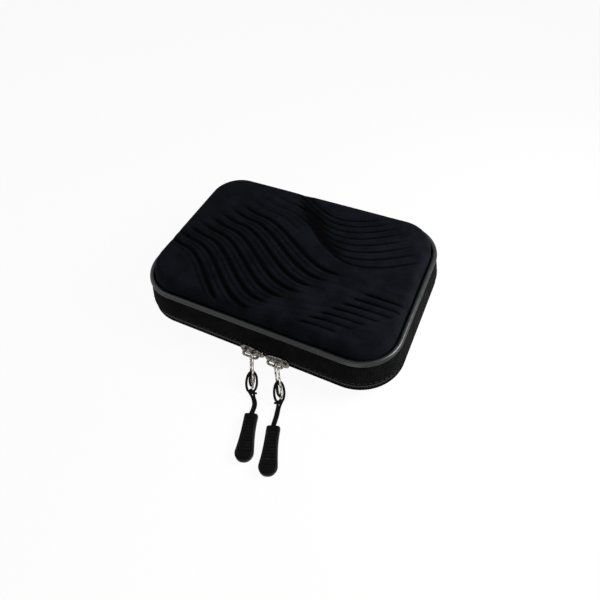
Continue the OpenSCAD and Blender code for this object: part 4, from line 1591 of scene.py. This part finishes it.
@dataclass
class NetPocket:
    """The pocket inside the lid: a net with real openings, its elastic hem and its edge tape."""

    form: CaseForm
    pitch: float = 2.6
    hole_r: float = 0.88
    hole_sides: int = 12
    yarn_t: float = 0.4
    edge_margin: float = 0.9
    dip: float = 0.5
    gather: float = 0.16
    gather_l: float = 3.4
    tape_half: float = 0.7

    def build(self) -> None:
        """Makes the net and what edges it."""
        low, high = node_box("mesh_pocket")
        net = self.net(low, high)
        hem = dress(self.hem(*node_box("pocket_elastic")), "pocket_hem", STRAP_ELASTIC, Half.LID.value,
                    ["pocket_elastic"])
        edge = self.edging()

    def inside(self, x: np.ndarray, y: np.ndarray, low: np.ndarray, high: np.ndarray) -> np.ndarray:
        """Whether places lie well inside the pocket's outline, a rounded rectangle cut off at its mouth."""
        reach = high[0] - self.form.core_x - self.edge_margin
        beyond = np.hypot(np.clip(np.abs(x) - self.form.core_x, 0, None),
                          np.clip(np.abs(y) - self.form.core_y, 0, None))
        return (beyond < reach) & (y > low[1] + self.edge_margin)

    def net(self, low: np.ndarray, high: np.ndarray) -> bpy.types.Object:
        """Hexagonal cells with a round opening each, wherever a cell's centre is inside the outline."""
        row_h = self.pitch * np.sqrt(3) / 2
        columns, rows = int((high[0] - low[0]) / self.pitch) + 2, int((high[1] - low[1]) / row_h) + 2
        column, row = np.meshgrid(np.arange(columns), np.arange(rows), indexing="ij")
        x = low[0] + (column + 0.5 * (row % 2)) * self.pitch
        y = low[1] + row * row_h
        kept = self.inside(x, y, low, high)
        places = np.stack([x[kept], y[kept], np.full(kept.sum(), high[2])], axis=1)
        angles = np.linspace(0, TURN, self.hole_sides + 1)
        from_corner = (angles + TURN / 12) % (TURN / 6) - TURN / 12
        hexagon = self.pitch / 2 / np.cos(from_corner)
        ring = np.stack([np.cos(angles), np.sin(angles), np.zeros_like(angles)], axis=1)
        cell = Surface.grid(np.stack([ring * self.hole_r, ring * hexagon[:, None]], axis=0)[:, ::-1])
        surface = cell.repeated(places, np.broadcast_to(np.eye(3), (len(places), 3, 3)))
        span = (surface.points[:, :2] - (low[:2] + high[:2]) / 2) / (high[:2] - low[:2]) * 2
        surface.points[:, 2] -= self.dip * (1 - span[:, 0] ** 2) * (1 - span[:, 1] ** 2)
        piece = dress(surface, "pocket_net", NET_YARN, Half.LID.value, ["mesh_pocket"], closed=False)
        solidify = piece.modifiers.new("yarn", "SOLIDIFY")
        solidify.thickness = self.yarn_t * MM
        solidify.offset = -1.0
        return piece

    def hem(self, low: np.ndarray, high: np.ndarray) -> Surface:
        """The elastic along the mouth, as a gently gathered ribbon: its height follows a sine of x."""
        along, angles = np.linspace(low[0], high[0], 181), np.linspace(0, TURN, 25)
        half, centre = (high - low) / 2, (low + high) / 2
        section = np.stack([squared(angles, 0.35)[0] * half[1], squared(angles, 0.6)[1] * half[2]], axis=1)
        ends, flat = capped(along, section, np.zeros(2))
        lift = np.r_[0.0, self.gather * np.sin(along * TURN / self.gather_l), 0.0][:, None]
        x = np.broadcast_to(ends[:, None], flat.shape[:2])
        points = np.stack([x, centre[1] + flat[..., 0], centre[2] + flat[..., 1] + lift], axis=-1)
        return Surface.grid(points, np.broadcast_to(section[:, 0], x.shape), x)

    def edging(self) -> bpy.types.Object:
        """The tape round the net's edge, from one end of the mouth round the back to the other."""
        low, high = node_box("pocket_binding")
        outer_u = high[0] - self.form.core_x
        path = self.form.path(1.4)
        outer = path.core + outer_u * path.out
        front = np.flatnonzero(outer[:, 1] < low[1])
        keep = np.r_[np.arange(front[-1] + 1, len(outer)), np.arange(1, front[0])]
        part = Path(path.core[keep], path.out[keep], path.straight[keep], path.angle[keep])
        angles = np.linspace(0, TURN, 17)
        section = np.stack([outer_u - self.tape_half + self.tape_half * np.cos(angles),
                            (low[2] + high[2]) / 2 + (high[2] - low[2]) / 2 * np.sin(angles)], axis=1)
        return dress(part.carry(section), "pocket_edging", BINDING, Half.LID.value, ["pocket_binding"],
                     closed=False)


# Sliders and pulls


@dataclass
class Slider:
    """A zip slider: crowned front plate, back plate, the post between them, and the bail on its front."""

    side: Side
    form: CaseForm
    wire_r: float = 0.62
    bridge_r: float = 0.8
    bridge_inset: float = 2.2
    plate_t: float = 1.1
    bevel: float = 0.28
    plate_power: float = 0.62
    nose_share: float = 0.34
    back_half_h: float = 1.7
    back_t: float = 1.0
    back_r: float = 0.3
    post_half_l: float = 2.0
    post_half_t: float = 0.35
    post_in: float = 3.0
    post_inset: float = 0.4
    post_r: float = 0.12
    elbow: float = 1.4

    def build(self) -> None:
        """Makes the body and the bail."""
        self.body()
        self.bail()

    @property
    def name(self) -> str:
        """The name of the slider's body."""
        return f"slider_{self.side.value}"

    def body(self) -> bpy.types.Object:
        """The cast body: crowned plate, back plate, post, lugs and bridge in one casting."""
        node, form = f"slider_body_{self.side.value}", self.form
        low, high = node_box(node)
        nose = 1 if self.side is Side.LEFT else -1
        half_l, half_h = (high[0] - low[0]) / 2, (high[2] - low[2]) / 2
        centre = np.array([(low[0] + high[0]) / 2, low[1], form.zip_z])
        plate = self.plate(half_l, half_h, nose)
        plate.points = plate.points + centre
        back = pillow(np.array([low[0], high[1] - self.back_t, form.zip_z - self.back_half_h]),
                      np.array([high[0], high[1], form.zip_z + self.back_half_h]), self.back_r)
        post_x = centre[0] + nose * (half_l - self.post_in)
        half_x, half_z = self.post_half_l, self.post_half_t
        post = pillow(np.array([post_x - half_x, low[1] + self.post_inset, form.zip_z - half_z]),
                      np.array([post_x + half_x, high[1] - self.post_inset, form.zip_z + half_z]),
                      self.post_r)
        casting = Surface.joined([plate, back, post, *self.lugs(centre)])
        return dress(casting, f"slider_casting_{self.side.value}", SLIDER_METAL, self.name, [node])

    def lugs(self, centre: np.ndarray) -> list[Surface]:
        """The two cast lugs on the plate that the bail's posts go into, with a low bridge between them."""
        low, high = (corner[0] for corner in node_box(f"slider_bail_{self.side.value}"))
        forward, radii = np.array([0.6, -0.35, -0.75, -0.95]), np.array([1.35, 1.2, 1.1, 0.95])
        y, z = centre[1] + forward, np.full(len(forward), centre[2])
        lugs = [tube(np.column_stack([np.full(len(forward), x), y, z]), radii, 20, UP)
                for x in (low + BAIL_BAR_R, high - BAIL_BAR_R)]
        half_l = (high - low) / 2 - self.bridge_inset
        share = np.linspace(-1, 1, 21)
        ridge = np.column_stack([centre[0] + half_l * share, np.full(21, centre[1] + 0.25),
                                 np.full(21, centre[2])])
        return [*lugs, tube(ridge, self.bridge_r * np.sqrt(1.05 - share ** 2), 20, UP)]

    def plate(self, half_l: float, half_h: float, nose: int) -> Surface:
        """The front plate: an outline that narrows to the nose, crowned towards the front.

        The outline is x = L cos g |cos g|^(p - 1), z = H(x) sin g |sin g|^(p - 1), where H goes from full
        height at the wide end to 0.66 of it at the nose. Rings of the outline at shares of its size and
        at depths make the bevelled edge, the groove inside it and the crowned face.
        """
        across, upward = squared(np.linspace(0, TURN, 97), self.plate_power)
        x = half_l * across
        z = half_h * (1 - self.nose_share * swell(nose * x / half_l, -0.35, 1.0)) * upward
        rings = np.array([
            (0.0, self.plate_t), (0.75, self.plate_t), (0.97, self.plate_t), (1.0, self.plate_t - self.bevel),
            (1.0, self.bevel), (0.965, 0.06), (0.90, 0.0), (0.86, 0.10), (0.80, 0.12), (0.6, 0.0),
            (0.35, -0.16), (0.0, -0.22)])
        shares, deep = rings[:, :1], rings[:, 1:]
        return Surface.grid(np.stack([x * shares, np.broadcast_to(deep, (len(rings), len(x))), z * shares],
                                     axis=-1))

    def bail(self) -> bpy.types.Object:
        """The arched wire: out from the plate, round an elbow, along the bar and back in."""
        node, elbow = f"slider_bail_{self.side.value}", self.elbow
        low, high = node_box(node)
        half = (high[0] - low[0]) / 2 - BAIL_BAR_R
        bar_y, root_y = low[1] + BAIL_BAR_R, high[1] + 0.5
        left = arc((-half + elbow, bar_y + elbow), elbow, 180, 270, 8)
        right = arc((half - elbow, bar_y + elbow), elbow, 270, 360, 8)
        bar = np.stack([np.linspace(-half + elbow, half - elbow, 9)[1:-1], np.full(7, bar_y)], axis=1)
        plan = np.concatenate([[[-half, root_y], [-half, bar_y + elbow + 0.6]], left, bar, right,
                               [[half, bar_y + elbow + 0.6], [half, root_y]]])
        path = np.column_stack([plan[:, 0] + (low[0] + high[0]) / 2, plan[:, 1],
                                np.full(len(plan), self.form.zip_z)])
        radius = self.wire_r * (1 + 0.22 * swell(np.abs(plan[:, 0]) / half, 0.75, 1.0))
        wire = tube(path, radius, 18, UP)
        return dress(wire, f"slider_arch_{self.side.value}", SLIDER_METAL, self.name, [node])


@dataclass
class Pull:
    """What hangs on a slider: the long wire ring, the doubled cord looped through it, its knot and grip."""

    side: Side
    form: CaseForm
    ring_yaw: float
    cord_yaw: float
    route: tuple
    grip_bend: float
    ring_shift: float = 1.4
    ring_twist: float = 64.0
    ring_pitch: float = 14.9
    ring_bend_r: float = 2.1
    wire_r: float = 0.55
    tip_z: float = 2.2
    cord_r: float = 0.65
    braid_swell: float = 1.05
    strand_space: float = 1.36
    loop_length: float = 9.0
    loop_half_w: float = 2.5
    loop_steps: int = 20
    inner_centre: float = 0.60
    inner_half_l: float = 3.3
    inner_half_w: float = 1.2
    grip_l: float = 25.0
    grip_top_w: float = 7.2
    grip_end_w: float = 9.6
    grip_t: float = 4.6
    grip_top_r: float = 0.9
    grip_waist: float = 0.5
    grip_power: float = 0.42
    rib_start: float = 3.2
    rib_count: int = 10
    rib_share: float = 0.85
    panel_depth: float = 0.5
    panel_edge: tuple = (0.95, 1.35)
    knot_turns: float = 2.25
    knot_r: float = 1.0
    knot_climb: float = 0.85

    def build(self) -> None:
        """Makes the cord first, then the ring and the grip."""
        self.cord()
        self.ring()
        self.grip()

    @property
    def hung_at(self) -> np.ndarray:
        """The place on the bail's bar that the ring hangs from, a little to the right of its middle."""
        low, high = node_box(f"slider_bail_{self.side.value}")
        return np.array([(low[0] + high[0]) / 2 + self.ring_shift, low[1] + BAIL_BAR_R, self.form.zip_z])

    @property
    def reach(self) -> float:
        """Distance from the bail's bar to the wire of the ring's far end."""
        return self.ring_pitch + self.ring_bend_r

    @property
    def drop(self) -> float:
        """Slope of the ring from the bail down to its far end, in degrees."""
        return float(np.degrees(np.arcsin((self.form.zip_z - self.tip_z) / self.reach)))

    def pull_frame(self) -> LocalFrame:
        """Frame of the cord and grip: on the table under the ring's far end, +X along the cord."""
        flat = self.reach * np.cos(np.radians(self.drop))
        yaw = np.radians(self.ring_yaw)
        bar = self.hung_at
        origin = [bar[0] + flat * np.sin(yaw), bar[1] - flat * np.cos(yaw), 0.0]
        return LocalFrame.from_turns(origin, self.cord_yaw - 90)

    def cord_points(self) -> np.ndarray:
        """The cord's route on its own axes: in from the grip, round the ring's far end, and back out.

        The loop is knot + (far - knot)(1 - cos g) / 2 + across (half width * sin g + half the strands'
        space * cos(g / 2)), in a plane square to the ring's own plane.
        """
        route = np.array(self.route)
        angles = self.ring_yaw - self.cord_yaw, self.drop, self.ring_twist
        turn, drop, twist = (np.radians(angle) for angle in angles)
        along = np.array([np.cos(drop) * np.cos(turn), np.cos(drop) * np.sin(turn), -np.sin(drop)])
        far = np.array([0, 0, self.tip_z]) - self.loop_length * along
        across = np.array([np.cos(twist) * np.sin(drop) * np.cos(turn) + np.sin(twist) * np.sin(turn),
                           np.cos(twist) * np.sin(drop) * np.sin(turn) - np.sin(twist) * np.cos(turn),
                           np.cos(twist) * np.cos(drop)])
        g = TURN * np.arange(1, self.loop_steps)[:, None] / self.loop_steps
        loop = (KNOT_PLACE + (far - KNOT_PLACE) * (1 - np.cos(g)) / 2
                + across * (self.loop_half_w * np.sin(g) + self.strand_space / 2 * np.cos(g / 2)))
        beside = np.array([0, self.strand_space / 2, 0])
        return np.concatenate([(route[1:] - beside)[::-1], loop, route[1:] + beside])

    def inner_turn(self, points: np.ndarray, frame: LocalFrame, body: str) -> bpy.types.Object:
        """The cord's second turn inside its loop: an oval in the loop's plane, short of the ring's wire.

        Args:
            points: The cord's route on its own axes.
            frame: The cord's frame.
            body: The body that it moves with.

        Returns:
            The turn, a closed tube through centre + a cos g + b sin g.
        """
        loop = points[len(self.route) - 1:1 - len(self.route)]
        far = loop[len(loop) // 2]
        along = unit(far - KNOT_PLACE)
        across = loop[len(loop) // 4] - loop[-1 - len(loop) // 4]
        across = unit(across - (across @ along) * along)
        centre = KNOT_PLACE + (far - KNOT_PLACE) * self.inner_centre
        g = np.linspace(0, TURN, 41)[:, None]
        oval = centre + along * self.inner_half_l * np.cos(g) + across * self.inner_half_w * np.sin(g)
        turn = tube(oval, self.cord_r * 0.95, 12, np.cross(along, across), closed=True).turned(frame)
        return dress(turn, f"cord_inner_turn_{self.side.value}", PULL_CORD, body)

    def cord(self) -> bpy.types.Object:
        """The cord, a braided tube along its route, and the knot that holds its loop."""
        frame = self.pull_frame()
        points = self.cord_points()
        path = smooth_line(points, 5)
        surface = tube(path, self.cord_r * self.braid_swell, 16, (0, 0.3, 1), round_ends=False).turned(frame)
        line = frame.placed(path) * MM
        body = f"pull_{self.side.value}"
        cord = dress(surface, f"cord_{self.side.value}", PULL_CORD, body, [f"pull_cord_{self.side.value}"],
                     closed=False)
        extras = [self.knot(frame, body), self.inner_turn(points, frame, body)]
        length = float(running(line)[-1])
        tuple(line[0])
        [tuple(p) for p in line]
        LOG.info("cord_%s: %.1f mm long", self.side.value, length / MM)
        return cord

    def knot(self, frame: LocalFrame, body: str) -> bpy.types.Object:
        """The hitch: two turns of cord round both strands, x climbing evenly, and a short end to one side."""
        side = 1 if self.side is Side.LEFT else -1
        angles, climb = np.linspace(0, self.knot_turns * TURN, 60), self.knot_climb
        wraps = np.stack([climb * (2 * angles / angles[-1] - 1),
                          side * self.knot_r * np.cos(angles + np.pi / 2),
                          self.knot_r * np.sin(angles + np.pi / 2)], axis=1)
        end = np.array([[climb * 1.05, side * 1.6, 0.35], [climb, side * 2.3, 0.2],
                        [climb * 0.9, side * 2.75, 0.1]])
        path = smooth_line(np.concatenate([wraps[::3], end]), 4)
        surface = tube(path + KNOT_PLACE, self.cord_r * 0.9, 12, (1, 0.05, 0.02)).turned(frame)
        return dress(surface, f"knot_{self.side.value}", PULL_CORD, body, [f"pull_knot_{self.side.value}"])

    def ring(self) -> bpy.types.Object:
        """The wire ring: two half circles joined by two straight sides, in one plane."""
        near = arc((0, 0), self.ring_bend_r, 90, 270, 16)
        far = arc((self.ring_pitch, 0), self.ring_bend_r, -90, 90, 16)
        share = np.linspace(0, 1, 13)[1:-1, None]
        plan = np.concatenate([near, near[-1] + (far[0] - near[-1]) * share, far,
                               far[-1] + (near[0] - far[-1]) * share, near[:1]])
        path = np.column_stack([plan, np.zeros(len(plan))])
        frame = LocalFrame.from_turns(self.hung_at, self.ring_yaw - 90, self.drop, self.ring_twist)
        wire = tube(path, self.wire_r, 18, UP, closed=True).turned(frame)
        return dress(wire, f"wire_ring_{self.side.value}", WIRE_METAL, f"ring_{self.side.value}",
                     [f"pull_ring_{self.side.value}"])

    def grip(self) -> bpy.types.Object:
        """The moulded grip: a flat oval section whose width follows the outline, with sunk ribbed panels.

        The half width is linear from the top to the end with a sine waist, and a circle at the round end.
        Each section is a superellipse |y / w|^n + |z / t|^n = 1.
        """
        top_w, end_r, top_r = self.grip_top_w / 2, self.grip_end_w / 2, self.grip_top_r
        straight = self.grip_l - end_r
        bend = np.radians(np.linspace(0, 90, 7))
        top = top_r * (1 - np.cos(bend))
        body = np.linspace(top_r, straight, 110)[1:]
        end = straight + end_r * np.sin(np.linspace(0, np.pi / 2, 22))[1:]
        x = np.r_[0.0, top, body, end]
        share = np.clip(x / straight, 0, 1)
        half_w = ((self.grip_top_w + (self.grip_end_w - self.grip_top_w) * share) / 2
                  - self.grip_waist * np.sin(np.pi * share))
        half_w = np.where(x > straight, np.sqrt(np.clip(end_r ** 2 - (x - straight) ** 2, 0, None)), half_w)
        round_top = np.r_[0.0, 1 - top_r / top_w * (1 - np.sin(bend)), np.ones(len(x) - 1 - len(bend))]
        flat_end = np.clip(half_w / end_r * 1.6, 0, 1) ** 0.5
        half_t = self.grip_t / 2 * np.where(x > straight, flat_end, round_top)
        half_w = half_w * round_top
        across, upward = squared(np.linspace(0, TURN, 97), self.grip_power)
        y, z = half_w[:, None] * across, half_t[:, None] * upward
        edge = np.minimum(half_w[:, None] - np.abs(y), np.minimum(x, self.grip_l - x)[:, None])
        phase = (x - self.rib_start) / (straight - self.rib_start) * self.rib_count
        ribs = (swell(x, self.rib_start - 0.5, self.rib_start) * (1 - swell(x, straight, straight + 0.5))
                * np.maximum(np.cos(TURN * phase), 0) ** 0.7)
        sunk = self.panel_depth * swell(edge, *self.panel_edge) * (1 - self.rib_share * ribs[:, None])
        z = z - np.sign(z) * np.minimum(sunk, np.abs(z))
        x = x[:, None]
        y = y + self.grip_bend * (2 * x / self.grip_l - 1) ** 2 * np.sign(x - self.grip_l / 2)
        start, beside = self.route[-1][:2]
        points = np.stack([np.broadcast_to(x + start, y.shape), y + beside, z + self.grip_t / 2], axis=-1)
        surface = Surface.grid(points).turned(self.pull_frame())
        return dress(surface, f"grip_{self.side.value}", GRIP_RUBBER, f"pull_{self.side.value}",
                     [f"pull_grip_{self.side.value}"])


LEFT_ROUTE = ((2.4, 0, 1.8), (5, 1.2, 1.6), (7.6, 2.4, 1.6), (10.2, 2.9, 1.7), (13, 2.6, 2), (15.6, 2, 2.3))
RIGHT_ROUTE = ((2.4, 0, 1.8), (4.8, -0.5, 1.6), (7.6, -0.8, 1.6), (10.6, -1.1, 1.7), (13.6, -1.6, 2),
               (16.5, -2.1, 2.3))


# The studio


@dataclass
class Studio:
    """Camera, lamps, world and floor. The camera stands where the photograph's camera stood."""

    azimuth: float = 30.26
    elevation: float = 52.27
    roll: float = -5.94
    distance: float = 248.27
    aim: tuple = (16.93, -25.2, 31.4)
    focal_px: float = 455.26
    frame_px: float = 600.0
    ambient: float = 0.18
    floor_half: float = 3000.0
    floor_white: float = 0.86
    floor_glow: float = 0.94
    lit: tuple = (0, -20, 20)

    def build(self) -> None:
        """Sets up everything that isn't the case."""
        self.camera()
        self.world()
        self.floor()
        self.lamp("key", (270, 60, 230), 160, 1.5)
        self.lamp("fill", (-330, -120, 300), 300, 0.25)
        self.lamp("front", (120, -380, 160), 200, 0.35)
        bpy.context.scene.view_settings.view_transform = "Standard"

    def camera(self) -> None:
        """The camera: stands along (sin a cos e, -cos a cos e, sin e) from the aim, rolled a little."""
        a, e, roll = (np.radians(v) for v in (self.azimuth, self.elevation, self.roll))
        back = np.array([np.sin(a) * np.cos(e), -np.cos(a) * np.cos(e), np.sin(e)])
        level = unit(np.cross([0, 0, 1.0], back))
        upright = np.cross(back, level)
        right = np.cos(roll) * level + np.sin(roll) * upright
        up = -np.sin(roll) * level + np.cos(roll) * upright
        eye = np.array(self.aim) + self.distance * back
        data = bpy.data.cameras.new("camera")
        data.sensor_width = 36.0
        data.lens = data.sensor_width * self.focal_px / self.frame_px
        data.clip_start = 0.01
        axes = np.stack([right, up, back], axis=1)
        camera = add_object("camera", data)
        camera.matrix_world = Matrix.LocRotScale(eye * MM, Matrix(axes.tolist()), None)
        bpy.context.scene.camera = camera

    @staticmethod
    def seen_directly(sketch: Sketch) -> Socket:
        """1 for what is seen straight, in a reflection or through glass, and 0 for light on the object."""
        path = sketch.node("LightPath").outputs
        direct = sketch.math("MAXIMUM", path["Is Camera Ray"], path["Is Glossy Ray"])
        return sketch.math("MAXIMUM", direct, path["Is Transmission Ray"])

    def world(self) -> None:
        """A white surround where it is seen, reflected or behind glass, and a soft even light elsewhere."""
        world = bpy.data.worlds.new("studio")
        sketch = Sketch.on(world)
        strength = sketch.fade(self.seen_directly(sketch), 0, 1, self.ambient, 1.0)
        surround = sketch.node("Background", {"Color": (1, 1, 1, 1), "Strength": strength})
        sketch.node("OutputWorld", {"Surface": surround.outputs[0]})
        bpy.context.scene.world = world

    def floor(self) -> None:
        """A broad white floor that keeps a faint shadow of the object."""
        half, white = self.floor_half * MM, self.floor_white
        mesh = bpy.data.meshes.new("floor")
        corners = [(x * half, y * half, -0.02 * MM) for x, y in ((-1, -1), (1, -1), (1, 1), (-1, 1))]
        mesh.from_pydata(corners, [], [(0, 1, 2, 3)])
        material = bpy.data.materials.new("floor_white")
        sketch = Sketch.on(material)
        matt = sketch.node("BsdfDiffuse", {"Color": (white, white, white, 1)})
        glow = sketch.node("Emission", {"Color": (1, 1, 1, 1), "Strength": 1.0})
        share = sketch.times(self.seen_directly(sketch), self.floor_glow)
        mixed = sketch.node("MixShader", {0: share, 1: matt.outputs[0], 2: glow.outputs[0]})
        sketch.node("OutputMaterial", {"Surface": mixed.outputs[0]})
        mesh.materials.append(material)
        floor = add_object("floor", mesh)
        floor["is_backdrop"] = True

    def lamp(self, name: str, place: tuple, size: float, power: float) -> None:
        """A square soft lamp that faces the case.

        Args:
            name: The lamp's name.
            place: Where it stands.
            size: Length of its side.
            power: Its power in watts.
        """
        data = bpy.data.lights.new(name, "AREA")
        data.size = size * MM
        data.energy = power
        lamp = add_object(name, data)
        back = unit(np.array(place, dtype=float) - self.lit)
        right = unit(np.cross([0, 0, 1.0], back))
        axes = np.stack([right, np.cross(back, right), back], axis=1)
        lamp.matrix_world = Matrix.LocRotScale(np.array(place) * MM, Matrix(axes.tolist()), None)


def dress_nodes(nodes: dict) -> None:
    """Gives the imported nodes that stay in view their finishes."""
    finishes = {"base_shell": SHELL_FOAM, "lid_shell": SHELL_FOAM, "lid_band_foam": SHELL_FOAM,
                "base_tape": ZIP_TAPE, "lid_tape": ZIP_TAPE}
    for name, finish in finishes.items():
        for slot in nodes[name].material_slots:
            slot.material = finish.material()
        LOG.info("%s: finish %s", name, finish.name)


def corners(bounds: tuple) -> list[list[float]]:
    """A box's two corners as plain lists."""
    return [[float(v) for v in corner] for corner in bounds]


def main() -> None:
    """Loads the frame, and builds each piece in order."""
    logging.basicConfig(level=logging.INFO, format="%(name)s: %(message)s")
    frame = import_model()
    packed_box = corners(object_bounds())
    form = CaseForm.from_nodes()
    Studio().build()
    pulls = [Pull(Side.LEFT, form, ring_yaw=22.0, cord_yaw=20.0, route=LEFT_ROUTE, grip_bend=-0.35),
             Pull(Side.RIGHT, form, ring_yaw=32.0, cord_yaw=21.0, route=RIGHT_ROUTE, grip_bend=-0.35)]
    for pull in pulls:
        pull.build()
    for side in Side:
        Slider(side, form).build()
    LidShell(form, Waves()).build()
    BaseShell(form).build()
    Zip(form).build()
    NetPocket(form).build()
    dress_nodes(frame["nodes"])
    visual_box = corners(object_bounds())
    LOG.info("cad box %s, visual box %s", packed_box, visual_box)


if __name__ == "__main__":
    main()
